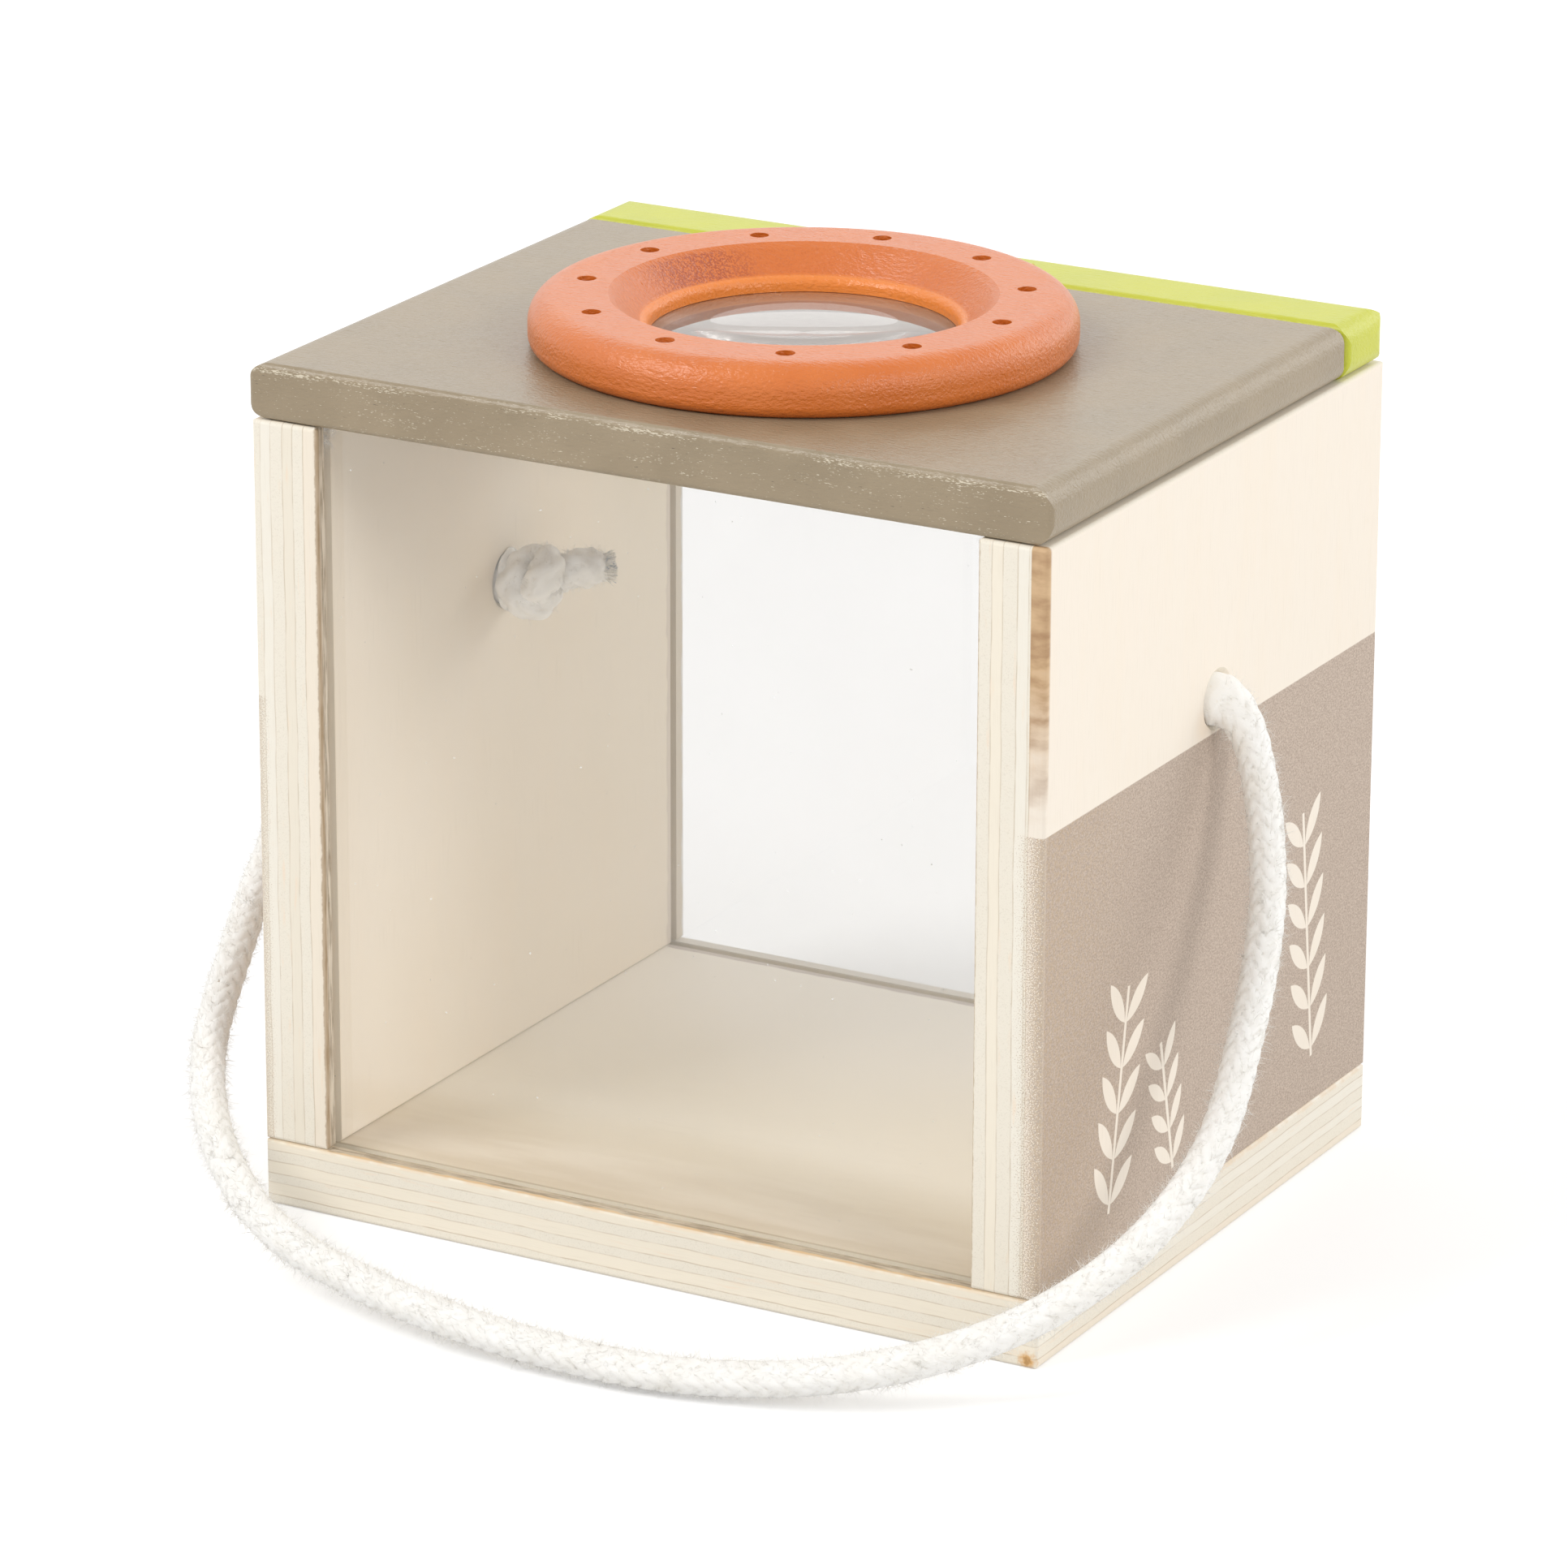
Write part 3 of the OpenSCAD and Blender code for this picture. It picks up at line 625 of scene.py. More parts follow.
def plywood_colour(f, depth, plies, glue, scorch_stretch, scorch_skip):
    """Colour of stacked plies at a depth below the first face, and the height of the wood's pores.

    Orange streaks run along the edges, stretched this much, and stay off the faces across scorch_skip.
    """
    total = sum(ply[0] for ply in plies)
    edges = [sum(ply[0] for ply in plies[:i]) / total for i in range(1, len(plies))]
    runs = sorted({ply[1] for ply in plies})
    wander = f.math("SUBTRACT", f.spots(9 * mm, detail=2.0), 0.5)
    share = f.math("ADD", f.math("DIVIDE", depth, total), f.times(wander, ply_wander / total))
    starts = [0] + edges
    colours = [(start, ply[2]) for start, ply in zip(starts, plies)]
    long_grain = f.steps(share, colours, "CONSTANT")
    turns = [(start, white if ply[1] == runs[1] else black) for start, ply in zip(starts, plies)]
    turned = f.steps(share, turns, "CONSTANT")
    seam = glue_line / total
    stops = [(0, black)]
    for edge, strength in zip(edges, glue):
        grey = (strength, strength, strength, 1)
        stops += [(edge - seam, black), (edge, grey), (edge + seam, black)]
    seams = f.steps(share, stops)
    facing = f.parts(f.facing)
    pores, ends = [], []
    for run in runs:
        stretch = [1.0, 1.0, 1.0]
        stretch[run] = pore_length_share
        pores.append(f.spots(pore_pitch, detail=3.0, stretch=stretch, shift=1.0 + run))
        ends.append(f.math("ABSOLUTE", facing[run]))
    grain = f.mix(turned, pores[0], pores[1])
    end_on = f.band(f.mix(turned, ends[0], ends[1]), 0.35, 0.75)
    colour = f.mix(end_on, long_grain, end_grey)
    streaks = f.spots(1.6 * mm, detail=3.0, shift=2.0)
    colour = f.mix(f.times(f.band(streaks, 0.5, 0.8), 0.3), colour, warm_cream)
    # The pores show darker where the grain is cut across
    dark_pores = f.times(f.band(grain, 0.5, 0.75), f.scaled(end_on, 0.14, 0.1))
    colour = f.mix(dark_pores, colour, pore_grey)
    patchy = f.band(f.spots(3 * mm, detail=4.0, shift=8.0), 0.35, 0.6)
    colour = f.mix(f.times(seams, f.scaled(patchy, 0.55, 0.3)), colour, glue_brown)
    scorch = f.band(f.spots(0.75 * mm, detail=4.0, stretch=scorch_stretch, shift=40.0), 0.6, 0.76)
    edge_on = f.math("SUBTRACT", 1.0, f.band(f.math("ABSOLUTE", facing[scorch_skip]), 0.5, 0.8))
    colour = f.mix(f.times(scorch, edge_on, 0.5), colour, peach)
    return colour, grain


def groove_grime_and_shade(f, colour, edge, along):
    """Grime and painted groove shade, with glue, in a strip beside a window: edge is 1 in the strip, along
    the axis that it runs on.
    """
    stretch = [1.0, 1.0, 1.0]
    stretch[along] = 14.0
    lines = f.spots(0.4 * mm, detail=3.0, stretch=stretch, shift=20.0)
    ragged = f.spots(0.9 * mm, detail=4.0, shift=21.0)
    dark = f.times(edge, f.scaled(f.band(lines, 0.4, 0.6), 0.65, 0.25))
    colour = f.mix(f.times(dark, f.scaled(ragged, 0.6, 0.6)), colour, grime_and_groove_shade)
    beads = f.band(f.spots(0.3 * mm, detail=3.0, shift=24.0), 0.68, 0.74)
    return f.mix(f.times(beads, edge, 0.6), colour, glue_white)


def strip(f, value, low, high, soft):
    """1 between two values, soft at both edges."""
    return f.times(f.band(value, low - soft, low + soft), f.band(value, high + soft, high - soft))


def base_finish():
    """Plywood with grime, painted groove shade and burns where the windows and side panels were fitted, and
    painted light towards the rear of the floor.
    """
    f = Finish("base_plywood")
    depth = f.math("SUBTRACT", base_high.z, f.z)
    colour, grain = plywood_colour(f, depth, base_plies, base_glue, (9, 9, 1), Z)
    # Browner floor behind the front window, and a paler floor towards the rear
    on_top = f.band(f.z, base_high.z - 0.25 * mm, base_high.z - 0.1 * mm)
    cloud = f.scaled(f.spots(3 * mm, detail=4.0, stretch=(5, 1, 1), shift=34.0), 0.5, 0.18)
    colour = f.mix(f.times(on_top, f.band(f.y, *front_brown_y), cloud), colour, floor_front_brown)
    # Painted light: the floor is paler towards the rear, where light comes in through the rear window
    colour = f.mix(f.times(on_top, f.band(f.y, *rear_light_y), 0.75), colour, painted_rear_floor_light)
    # Burnt and glued strips, with grime and painted groove shade, along both windows, between the side
    # panels
    inside = f.times(on_top, f.band(f.math("ABSOLUTE", f.x), *between_panels_x))
    sway = f.scaled(f.spots(2.5 * mm, detail=3.0, shift=30.0), 0.8 * mm, f.y)
    front_strip = f.times(inside, strip(f, sway, burn_high_y, pane_front_y + 0.4 * mm, 0.1 * mm))
    colour = groove_grime_and_shade(f, colour, front_strip, X)
    burn = f.times(inside, strip(f, sway, burn_low_y, burn_high_y, 0.1 * mm))
    colour = f.mix(f.times(burn, 0.6), colour, orange_burn)
    # Painted shade of the rear window's groove, in a strip along it
    rear_shade_strip = strip(f, sway, pane_rear_y - 0.5 * mm, pane_rear_y + 0.6 * mm, 0.15 * mm)
    colour = f.mix(f.times(inside, rear_shade_strip, 0.55), colour, painted_rear_groove_shade)
    # Thin burnt line under the outer edge of the side panels
    outer = f.band(f.math("ABSOLUTE", f.x), *under_panels_x)
    front = f.band(f.y, base_low.y + 0.5 * mm, base_low.y + 0.15 * mm)
    top_line = f.band(f.z, base_high.z - 0.6 * mm, base_high.z - 0.25 * mm)
    patchy = f.band(f.spots(2.2 * mm, detail=4.0, shift=36.0), 0.35, 0.6)
    burnt = f.times(f.math("MAXIMUM", outer, front), top_line, patchy)
    colour = f.mix(f.times(burnt, 0.3), colour, orange_burn)
    # A small dark knot at the right front corner of the underside
    corner = Vector((base_high.x - 1.2 * mm, base_low.y, base_low.z + 0.9 * mm))
    ragged = f.scaled(f.spots(0.5 * mm, detail=4.0), 1.8 * mm, f.away_from(corner))
    colour = f.mix(f.band(ragged, 2.3 * mm, 1.3 * mm), colour, orange_burn)
    colour = f.mix(f.times(f.band(ragged, 1.5 * mm, 1.0 * mm), 0.7), colour, knot_brown)
    normal = f.relief(grain, pore_depth)
    return f.set(Base_Color=colour, Normal=normal, Roughness=0.72)


def show_cad(node, finish):
    """Keeps the part's own solid in sight, in this finish."""
    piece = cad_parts[node]
    piece.data.materials.clear()
    piece.data.materials.append(finish)


show_cad("base_panel", base_finish())


# Side panels
# Plywood boards, raw, with a taupe field printed over the lower part of the outer face. The print was
# sprayed, so it fades out in fine dots round the front edge. Its sprigs are left bare.
side_low, side_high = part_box("right_side_panel")
# Plies from the inner face outwards
right_plies = [
    (1.75 * mm, Y, cream),
    (1.3 * mm, Z, cream),
    (1.75 * mm, Y, cream),
    (1.35 * mm, Z, pale_cream),
    (0.35 * mm, Y, cream),
    (1.9 * mm, Z, face_cream),
]
left_plies = [
    (1.7 * mm, Z, warm_cream),
    (1.4 * mm, Y, cream),
    (1.3 * mm, Z, firm_cream),
    (1.6 * mm, Y, cream),
    (1.3 * mm, Z, pale_cream),
    (1.1 * mm, Y, warm_cream),
]
right_glue = [0.75, 0.7, 0.85, 0.65, 0.75]
left_glue = [0.85, 0.75, 0.8, 0.6, 0.65]
print_taupe = (0.39, 0.3, 0.238, 1)
print_taupe_pale = (0.6, 0.49, 0.4, 1)
print_golden = (0.5, 0.36, 0.22, 1)
print_top_z = 61.7 * mm
print_soft = 0.08 * mm
# Pairs of places are again where something is gone and where it is full
print_face_x = (49.8 * mm, 49.92 * mm)
print_front_y = (-42 * mm, -41.2 * mm)
spray_y = (40.6 * mm, 41.6 * mm)
golden_y = (-12 * mm, -42 * mm)
worn_y = (-41.3 * mm, -41.9 * mm)
sawn_y = (-41 * mm, -41.6 * mm)
torn_y = (42.05 * mm, 42.2 * mm)
stain_x = (48.0 * mm, 48.15 * mm)
stain_y = (-40.9 * mm, -41.4 * mm)
stain_z = (71 * mm, 92 * mm)
stain_gold = (0.62, 0.4, 0.2, 1)
stain_brown = (0.36, 0.18, 0.06, 1)
peach_veneer = (0.9, 0.78, 0.63, 1)
painted_backlight_white = (0.97, 0.96, 0.95, 1)
painted_groove_shade_grey = (0.46, 0.37, 0.34, 1)
sawn_brown = (0.42, 0.28, 0.15, 1)
handling_mark = Vector((side_high.x, -3.4 * mm, 63.4 * mm))
ink_depth = 0.05 * mm
spray_start = 0.69
spray_fall = 0.32
# Foot y, foot z, length, lean and leaf size of each sprig
sprigs = [
    (-25 * mm, 12.5 * mm, 30 * mm, 0.16, 1.0),
    (-9 * mm, 12.5 * mm, 19 * mm, -0.22, 0.8),
    (27 * mm, 14 * mm, 34 * mm, -0.12, 1.0),
]
leaf_pitch = 5.2 * mm
leaf_half_length = 3.3 * mm
leaf_half_width = 1.05 * mm
leaf_angle = math.radians(42)
leaf_gap = 0.4 * mm
leaf_soft = 0.05 * mm
stem_half_width = 0.28 * mm
stem_soft = 0.04 * mm


def sprig_mask(f, foot_y, foot_z, length, lean, size):
    """1 on a straight stem with pairs of pointed leaves along it."""
    y = f.math("SUBTRACT", f.y, foot_y)
    z = f.math("SUBTRACT", f.z, foot_z)
    upright, sideways = math.cos(lean), math.sin(lean)
    along = f.math("ADD", f.times(z, upright), f.times(y, sideways))
    across = f.math("ABSOLUTE", f.math("SUBTRACT", f.times(y, upright), f.times(z, sideways)))
    pitch = leaf_pitch * size
    count = math.floor(length / pitch)
    cell = f.times(f.math("FRACT", f.math("DIVIDE", along, pitch)), pitch)
    # A leaf is where two equal circles overlap
    half_length = leaf_half_length * size
    half_width = leaf_half_width * size
    circle_r = (half_length**2 + half_width**2) / (2 * half_width)
    c, s = math.cos(leaf_angle), math.sin(leaf_angle)
    masks = []
    for row in (0, 1):
        root = f.math("ADD", cell, (row - 0.15) * pitch)
        u = f.math("ADD", f.times(root, c), f.times(across, s))
        v = f.math("SUBTRACT", f.times(across, c), f.times(root, s))
        u = f.math("SUBTRACT", u, half_length + leaf_gap)
        v = f.math("ADD", f.math("ABSOLUTE", v), circle_r - half_width)
        reach = f.math("SQRT", f.math("ADD", f.times(u, u), f.times(v, v)))
        first = f.math("GREATER_THAN", along, row * pitch)
        last = f.math("LESS_THAN", along, (count + row) * pitch)
        leaf = f.band(reach, circle_r + leaf_soft, circle_r - leaf_soft)
        masks.append(f.times(leaf, f.times(first, last)))
    stem = f.band(across, stem_half_width + stem_soft, stem_half_width - stem_soft)
    above_foot = f.math("GREATER_THAN", along, 0.0)
    below_tip = f.math("LESS_THAN", along, count * pitch)
    masks.append(f.times(stem, f.times(above_foot, below_tip)))
    return f.math("MAXIMUM", f.math("MAXIMUM", masks[0], masks[1]), masks[2])


def side_finish(name, hand, plies, glue, spray_reach, spray_cover):
    """Plywood with a printed field.

    hand is 1 for the right panel and -1 for the left. The sprayed dots thin out over about spray_reach
    from the outer face, and spray_cover is how much of the wood they hide at most.
    """
    f = Finish(name)
    outward = f.times(f.x, hand)
    depth = f.math("SUBTRACT", outward, side_low.x)
    colour, grain = plywood_colour(f, depth, plies, glue, (1, 1, 7), X)
    # Soft upright bands of the face veneers
    bands = f.spots(4 * mm, detail=3.0, stretch=(1, 1, 7), shift=3.0)
    on_face = f.band(f.math("ABSOLUTE", f.parts(f.facing)[0]), 0.5, 0.8)
    colour = f.mix(f.times(f.band(bands, 0.4, 0.8), 0.3, on_face), colour, peach_veneer)
    # Grime and painted groove shade in front of the windows, on the inner face
    on_inside = f.band(outward, side_low.x + 0.3 * mm, side_low.x + 0.1 * mm)
    sway = f.scaled(f.spots(2.5 * mm, detail=3.0, shift=30.0), 0.5 * mm, f.y)
    front_strip = strip(f, sway, -41.5 * mm, pane_front_y + 0.5 * mm, 0.1 * mm)
    colour = groove_grime_and_shade(f, colour, f.times(on_inside, front_strip), Z)
    # Torn veneer at the rear edge, with painted light where the bright rear window shows past it
    tears = f.spots(1.1 * mm, detail=5.0, stretch=(1, 1, 1.8), shift=31.0)
    torn = f.scaled(tears, 1.6 * mm, f.y)
    backlit_edge = f.times(on_inside, f.band(torn, *torn_y))
    colour = f.mix(backlit_edge, colour, painted_backlight_white)
    # Painted shade of the rear window's groove, in a line beside it
    groove_shade_line = strip(f, torn, pane_rear_y - 0.1 * mm, pane_rear_y + 1.5 * mm, 0.1 * mm)
    colour = f.mix(f.times(on_inside, groove_shade_line, 0.3), colour, painted_groove_shade_grey)
    # Ragged sawn edge of the innermost ply
    rag = f.scaled(f.spots(0.9 * mm, detail=4.0, shift=33.0), 0.5 * mm, outward)
    inner_ply = f.band(rag, side_low.x + 0.56 * mm, side_low.x + 0.4 * mm)
    edge = f.times(inner_ply, f.band(f.y, *sawn_y))
    colour = f.mix(f.times(edge, 0.65), colour, sawn_brown)
    if hand == 1:
        # The outermost ply is stained brown at the top of the front edge
        cloud = f.spots(2.2 * mm, detail=6.0, stretch=(2.5, 2.5, 1), shift=6.0)
        height = f.scaled(cloud, 22 * mm, f.z)
        stained = f.times(f.band(height, *stain_z), f.band(outward, *stain_x), f.band(f.y, *stain_y))
        tone = f.mix(f.band(cloud, 0.4, 0.66), stain_gold, stain_brown)
        colour = f.mix(f.times(stained, 0.9), colour, tone)
        # Handling marks below the bore
        near_mark = f.band(f.away_from(handling_mark), 3 * mm, 0.5 * mm)
        colour = f.mix(f.times(near_mark, 0.35), colour, peach)
    # Printed field: solid on the outer face, dots on the rounded front edge
    below = f.band(f.z, print_top_z + print_soft, print_top_z - print_soft)
    solid = f.times(f.band(outward, *print_face_x), f.band(f.y, *print_front_y))
    dots = f.scaled(f.spots(0.15 * mm, detail=2.5, shift=9.0), 1.25, -0.1)
    inward = f.math("SUBTRACT", side_high.x, outward)
    spray = f.scaled(inward, -spray_fall / spray_reach, spray_start)
    near_edge = f.band(f.math("ABSOLUTE", f.y), *spray_y)
    sprayed = f.times(f.band(f.math("SUBTRACT", spray, dots), -0.08, 0.12), near_edge, spray_cover)
    field = f.times(f.math("MAXIMUM", solid, sprayed), below)
    for sprig in sprigs:
        field = f.times(field, f.math("SUBTRACT", 1.0, sprig_mask(f, *sprig)))
    # The ink is mottled, golden in thin places, and worn along the front edge
    mottle = f.spots(0.19 * mm, detail=2.0, stretch=(1, 1.5, 1), shift=12.0)
    ink = f.mix(f.band(mottle, 0.28, 0.74), print_taupe, print_taupe_pale)
    thin = f.band(f.spots(0.5 * mm, detail=3.0, shift=14.0), 0.4, 0.62)
    ink = f.mix(f.times(f.band(f.y, *golden_y), thin, 0.55), ink, print_golden)
    worn = f.times(f.band(f.y, *worn_y), f.band(mottle, 0.45, 0.55))
    ink = f.mix(f.times(worn, 0.7), ink, print_golden)
    colour = f.mix(f.times(field, 0.97), colour, ink)
    normal = f.relief(grain, pore_depth)
    normal = f.relief(mottle, f.times(field, ink_depth), normal)
    return f.set(Base_Color=colour, Normal=normal, Roughness=0.7)


right_wood = side_finish("right_panel_wood", 1, right_plies, right_glue, 3.2 * mm, 0.85)
left_wood = side_finish("left_panel_wood", -1, left_plies, left_glue, 1.6 * mm, 0.5)
show_cad("right_side_panel", right_wood)
show_cad("left_side_panel", left_wood)


# Windows
# Two clear acrylic sheets, slid into the grooves before the sides were glued. They are polished, with a
# faint haze, a few specks of dust and some sawdust in the corners of the grooves.
acrylic_ior = 1.49
clear_way = (0.985, 0.985, 0.985, 1)
window_tint = (0.982, 0.979, 0.976, 1)
dull_window_tint = (0.8, 0.796, 0.79, 1)
sawdust_x = (39 * mm, 42 * mm)
sawdust_z = (86 * mm, 95 * mm)


def clear_finish(name, tint, ior, haze, dust, cloudy=0.0):
    """Clear plastic that lets the lamps light what is behind it.

    haze is the roughness of its smears, dust the share of specks, and cloudy how much of it isn't clear.
    """
    f = Finish(name)
    smear = f.spots(18 * mm, detail=4.0)
    roughness = f.node("MapRange", {0: smear, 1: 0.3, 2: 0.8, 3: 0.0, 4: haze})
    f.set(Base_Color=tint, Roughness=roughness, IOR=ior, Transmission_Weight=1.0 - cloudy)
    if dust > 0:
        specks = f.band(f.spots(0.55 * mm, detail=1.0, shift=2.0), 0.8 - 0.06 * dust, 0.86 - 0.06 * dust)
        side = f.band(f.math("ABSOLUTE", f.x), *sawdust_x)
        corner = f.times(side, f.band(f.z, *sawdust_z), f.spots(1.2 * mm, detail=4.0, shift=5.0))
        cover = f.scaled(f.band(corner, 0.15, 0.6), 0.5, f.times(specks, 0.8))
        cover = f.math("ADD", cover, f.node("MapRange", {0: smear, 1: 0.35, 2: 0.7, 3: 0.0, 4: 0.02}))
        f.set(Transmission_Weight=f.math("SUBTRACT", 1.0, cover))
    light = f.tree.nodes.new("ShaderNodeLightPath")
    passing = f.math("MAXIMUM", light.outputs["Is Shadow Ray"], light.outputs["Is Diffuse Ray"])
    open_way = f.node("BsdfTransparent", {0: clear_way})
    shown = f.node("MixShader", {0: passing, 1: f.surface.outputs[0], 2: open_way})
    f.tree.links.new(shown, f.output.inputs[0])
    return f.material


show_cad("front_window", clear_finish("acrylic_sheet", window_tint, acrylic_ior, 0.03, 0.3))
show_cad("rear_window", clear_finish("dull_acrylic_sheet", dull_window_tint, acrylic_ior, 0.02, 0.3))


# Dowels
# Beech pegs that join base, side panels and rail. They are glued in, and hidden once the box is joined.
beech_pale = (0.66, 0.47, 0.29, 1)
beech_dark = (0.5, 0.33, 0.19, 1)


def dowel_finish():
    """Bare beech with its grain upright."""
    f = Finish("beech_dowel")
    grain = f.spots(0.25 * mm, detail=3.0, stretch=(1, 1, 20))
    colour = f.mix(f.band(grain, 0.4, 0.7), beech_pale, beech_dark)
    return f.set(Base_Color=colour, Normal=f.relief(grain, 0.04 * mm), Roughness=0.6)


beech = dowel_finish()
show_cad("base_dowels", beech)
show_cad("rail_dowels", beech)


# Green rail
# Solid wood strip, rounded on all edges and dipped in bright green paint. It is doweled and glued across
# the rear of the side panels, and carries the fixed leaf of the hinge.
rail_green = (0.52, 0.545, 0.025, 1)
rail_green_pale = (0.57, 0.585, 0.045, 1)
grain_depth = 0.05 * mm
coat_roughness = 0.16


def painted_wood(name, paint, pale, gloss, coat, wrinkle_depth):
    """Satin paint over wood with its grain along x: fine raised lines, and the wrinkles of thick paint."""
    f = Finish(name)
    lines = f.spots(0.3 * mm, detail=3.0, stretch=(9, 1, 1))
    wrinkles = f.spots(0.34 * mm, detail=2.5, stretch=(2.2, 1, 1), shift=3.0)
    pits = f.spots(0.22 * mm, detail=2.0, shift=4.0)
    cloud = f.spots(8 * mm, detail=3.0, shift=6.0)
    colour = f.mix(f.band(cloud, 0.3, 0.7), paint, pale)
    f.colour = f.mix(f.times(f.band(lines, 0.55, 0.8), 0.35), colour, paint)
    end_on = f.band(f.math("ABSOLUTE", f.parts(f.facing)[0]), 0.45, 0.8)
    normal = f.relief(f.mix(end_on, lines, pits), grain_depth)
    f.normal = f.relief(wrinkles, wrinkle_depth, normal)
    f.roughness = f.node("MapRange", {0: cloud, 1: 0.3, 2: 0.7, 3: gloss, 4: gloss + 0.08})
    f.set(Coat_Weight=coat, Coat_Roughness=coat_roughness, Coat_Normal=f.normal)
    return f


def painted_rail():
    """Bright green paint with a low gloss."""
    f = painted_wood("green_rail_paint", rail_green, rail_green_pale, 0.34, 0.08, 0.1 * mm)
    return f.set(Base_Color=f.colour, Normal=f.normal, Roughness=f.roughness)


show_cad("hinge_rail", painted_rail())


# Hinge
# Small brass butt hinge let into the seam between rail and lid: two leaves, a pin and four countersunk
# screws.
brass_gold = (0.78, 0.58, 0.25, 1)
brass_dull = (0.55, 0.39, 0.16, 1)


def brass_finish():
    """Brass, brushed along the hinge and a little tarnished."""
    f = Finish("hinge_brass")
    tarnish = f.spots(1.4 * mm, detail=4.0)
    brushed = f.spots(0.12 * mm, detail=2.0, stretch=(16, 1, 1))
    colour = f.mix(f.band(tarnish, 0.45, 0.75), brass_gold, brass_dull)
    roughness = f.node("MapRange", {0: brushed, 1: 0.3, 2: 0.7, 3: 0.22, 4: 0.4})
    normal = f.relief(brushed, 0.01 * mm)
    return f.set(Base_Color=colour, Normal=normal, Roughness=roughness, Metallic=1.0)


brass = brass_finish()
for node in ("rail_hinge_leaf", "lid_hinge_leaf", "hinge_pin", "rail_hinge_screws", "lid_hinge_screws"):
    show_cad(node, brass)


# Lid
# Board with its edges rounded, in grey-brown satin paint. The open grain telegraphs through the paint, and
# small pale chips along the front edge are partly bare wood and partly painted glints.
lid_brown = (0.3, 0.232, 0.145, 1)
lid_brown_pale = (0.34, 0.265, 0.17, 1)
pale_chip_and_glint = (0.78, 0.7, 0.55, 1)
pore_dark = (0.07, 0.05, 0.035, 1)
lid_low, lid_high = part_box("lid_panel")


def lid_finish():
    """Brown paint with pale chips, partly bare wood and partly painted glints, and open pores on the front
    edge, most of them just below its upper corner.
    """
    f = painted_wood("lid_paint", lid_brown, lid_brown_pale, 0.3, 0.1, 0.12 * mm)
    scratch = f.spots(0.09 * mm, detail=1.5, stretch=(5, 1, 1), shift=10.0)
    rows = f.band(f.spots(0.9 * mm, detail=2.0, stretch=(7, 1, 1), shift=14.0), 0.45, 0.65)
    front = f.band(f.y, lid_low.y + 0.6 * mm, lid_low.y + 0.2 * mm)
    upper = strip(f, f.z, lid_high.z - 1.0 * mm, lid_high.z - 0.45 * mm, 0.25 * mm)
    clusters = f.band(f.spots(3.5 * mm, detail=2.0, stretch=(3, 1, 1), shift=15.0), 0.28, 0.55)
    often = f.scaled(f.times(upper, clusters), 0.15, f.times(rows, 0.075))
    chips_and_glints = f.band(f.math("ADD", scratch, often), 0.7, 0.75)
    colour = f.mix(f.times(chips_and_glints, front, 0.75), f.colour, pale_chip_and_glint)
    pores = f.band(f.spots(0.16 * mm, detail=1.0, stretch=(6, 1, 1), shift=18.0), 0.72, 0.8)
    colour = f.mix(f.times(pores, front, 0.8), colour, pore_dark)
    return f.set(Base_Color=colour, Normal=f.normal, Roughness=f.roughness)


show_cad("lid_panel", lid_finish())


# Lens ring
# Turned wood ring in orange satin paint, glued over the lens. A bevel runs down to a bead above the lens,
# and rough end grain shows dark through the paint at the left of the bevel.
ring_orange = (0.66, 0.155, 0.014, 1)
ring_orange_pale = (0.69, 0.175, 0.022, 1)
ring_dark = (0.42, 0.07, 0.008, 1)
painted_bead_light = (0.88, 0.26, 0.03, 1)
ring_low, ring_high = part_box("lens_ring")
ring_middle = (ring_low + ring_high) / 2
bevel_inner_r = 18.2 * mm
bevel_outer_r = 21.5 * mm
bead_r = (18.7 * mm, 18.1 * mm)
rough_angle = math.radians(158)
rough_r = 19.8 * mm
rough_reach = (13 * mm, 6 * mm)
rough_depth = 0.12 * mm
rough_spot = (
    rough_r * math.cos(rough_angle),
    ring_middle.y + rough_r * math.sin(rough_angle),
    ring_high.z - 2 * mm,
)


def ring_finish():
    """Orange paint, darker where rough end grain shows on the bevel, and painted lighter on the bead, as if
    lit.
    """
    f = painted_wood("ring_paint", ring_orange, ring_orange_pale, 0.36, 0.4, 0.2 * mm)
    across = f.math("SUBTRACT", f.y, ring_middle.y)
    away = f.math("SQRT", f.math("ADD", f.times(f.x, f.x), f.times(across, across)))
    bevel = strip(f, away, bevel_inner_r, bevel_outer_r, 0.3 * mm)
    ragged = f.scaled(f.spots(2 * mm, detail=3.0, shift=7.0), 6 * mm, f.away_from(rough_spot))
    patch = f.times(f.band(ragged, *rough_reach), bevel)
    cells = f.spots(0.22 * mm, detail=2.5, shift=8.0)
    dark = f.times(f.band(cells, 0.42, 0.56), f.times(patch, 0.95))
    inner = f.times(f.band(cells, 0.5, 0.7), bevel, 0.25)
    colour = f.mix(f.math("MAXIMUM", dark, inner), f.colour, ring_dark)
    # Painted light: the bead is painted a brighter orange, as if lit
    colour = f.mix(f.times(f.band(away, *bead_r), 0.8), colour, painted_bead_light)
    normal = f.relief(cells, f.times(patch, rough_depth), f.normal)
    return f.set(Base_Color=colour, Normal=normal, Roughness=f.roughness)


show_cad("lens_ring", ring_finish())


# Lens
# Clear acrylic magnifier, curved on both faces, held between lid and ring.
lens_tint = (0.5, 0.465, 0.435, 1)
show_cad("lens", clear_finish("lens_acrylic", lens_tint, acrylic_ior, 0.0, 0, 0.16))


# Floor and light
# White studio floor and surroundings, with four soft lamps: one above the front left, one at the right and
# two behind, of which the left one gives the lid its sheen.
floor_half = 6.0
floor_grey = (0.8, 0.8, 0.8, 1)
floor_glow = 0.3
room_light = 0.66
box_middle = (0, 0, 0.05)
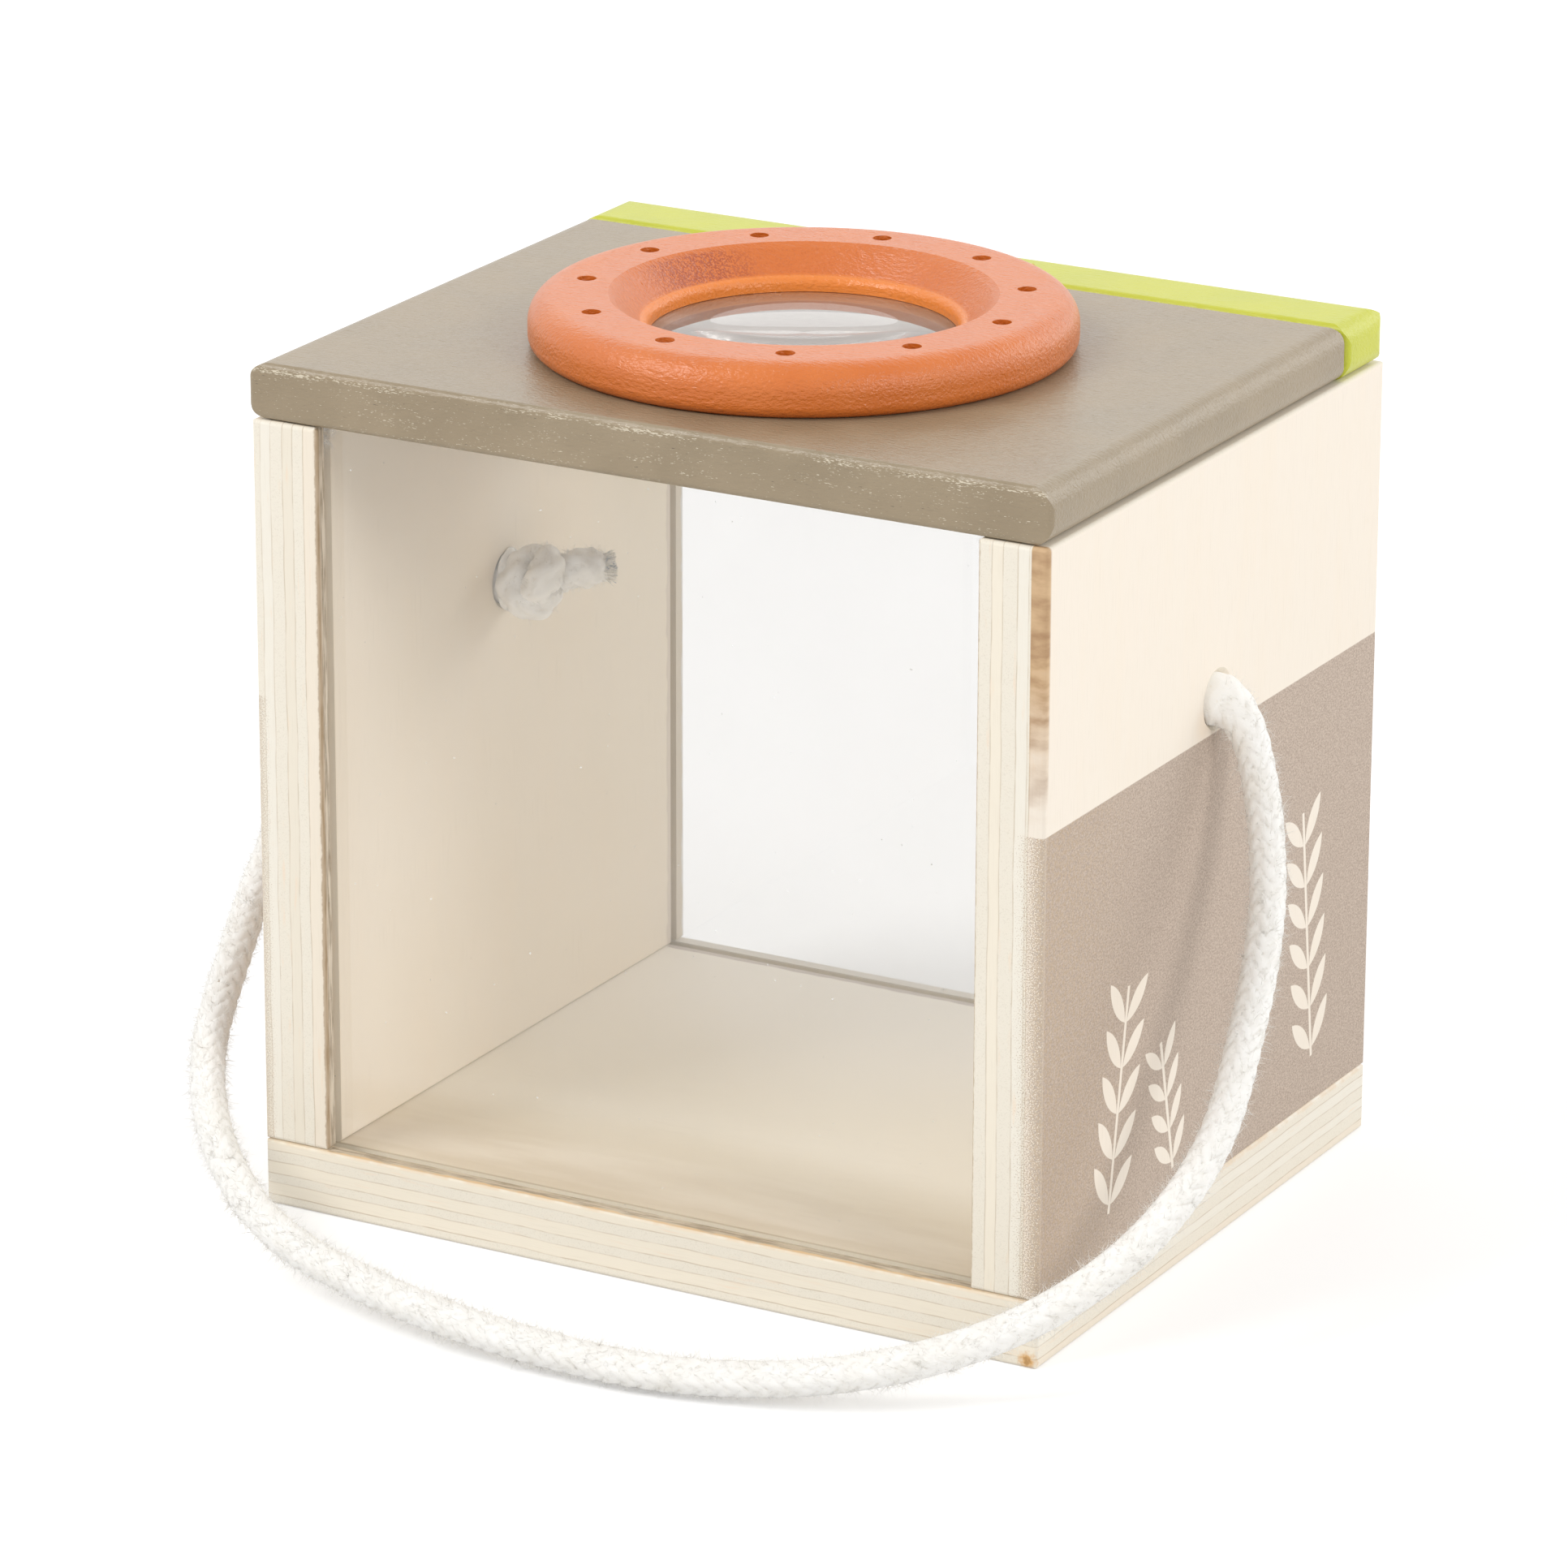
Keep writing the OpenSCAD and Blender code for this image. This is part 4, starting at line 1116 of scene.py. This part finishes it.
# Name, place, width, height and power of each lamp
lamps = [
    ("lamp_left", (-0.9, -1.0, 1.3), 0.85, 0.85, 13.5),
    ("lamp_right", (1.5, -0.5, 0.9), 0.5, 0.6, 7.3),
    ("lamp_back", (0.8, 1.35, 0.7), 1.3, 0.9, 7.5),
    ("lamp_sheen", (-0.75, 1.3, 0.85), 1.5, 0.9, 2.6),
]


def floor_sheet():
    """Flat square on the ground, wide enough for every view."""
    a = floor_half
    corners = [(-a, -a, 0), (a, -a, 0), (a, a, 0), (-a, a, 0)]
    mesh = bpy.data.meshes.new("floor")
    mesh.from_pydata(corners, [], [(0, 1, 2, 3)])
    sheet = bpy.data.objects.new("floor", mesh)
    bpy.context.scene.collection.objects.link(sheet)
    return sheet


def paper_finish():
    """White paper that still shows the shadow, and looks fully white away from it."""
    f = Finish("floor_paper")
    light = f.tree.nodes.new("ShaderNodeLightPath")
    seen = f.math("MAXIMUM", light.outputs["Is Camera Ray"], light.outputs["Is Glossy Ray"])
    seen = f.math("MAXIMUM", seen, light.outputs["Is Transmission Ray"])
    f.set(Base_Color=floor_grey, Roughness=1.0, Specular_IOR_Level=0.0)
    glow = f.node("Emission", {0: white, 1: f.times(seen, floor_glow)})
    both = f.node("AddShader", {0: f.surface.outputs[0], 1: glow})
    f.tree.links.new(both, f.output.inputs[0])
    return f.material


def soft_lamp(name, place, width, height, power):
    """Large flat lamp at a place, turned towards the middle of the box."""
    data = bpy.data.lights.new(name, "AREA")
    data.shape = "RECTANGLE"
    data.size = width
    data.size_y = height
    data.energy = power
    lamp = bpy.data.objects.new(name, data)
    lamp.location = place
    lamp.rotation_mode = "QUATERNION"
    lamp.rotation_quaternion = (Vector(box_middle) - Vector(place)).to_track_quat("-Z", "Y")
    bpy.context.scene.collection.objects.link(lamp)


def studio_world():
    """Surroundings that look fully white, and light the box as a dimmer room."""
    world = bpy.data.worlds.new("studio")
    world.use_nodes = True
    bpy.context.scene.world = world
    tree = world.node_tree
    rays = tree.nodes.new("ShaderNodeLightPath")
    strength = rays.outputs["Is Camera Ray"]
    for other in (rays.outputs["Is Glossy Ray"], rays.outputs["Is Transmission Ray"], None):
        larger = tree.nodes.new("ShaderNodeMath")
        larger.operation = "MAXIMUM"
        larger.inputs[1].default_value = room_light
        tree.links.new(strength, larger.inputs[0])
        if other is not None:
            tree.links.new(other, larger.inputs[1])
        strength = larger.outputs[0]
    sky = tree.nodes["Background"]
    sky.inputs["Color"].default_value = white
    tree.links.new(strength, sky.inputs["Strength"])


floor = floor_sheet()
floor.data.materials.append(paper_finish())
studio_world()
for lamp in lamps:
    soft_lamp(*lamp)

bpy.context.scene.view_settings.view_transform = "Standard"
bpy.context.view_layer.update()
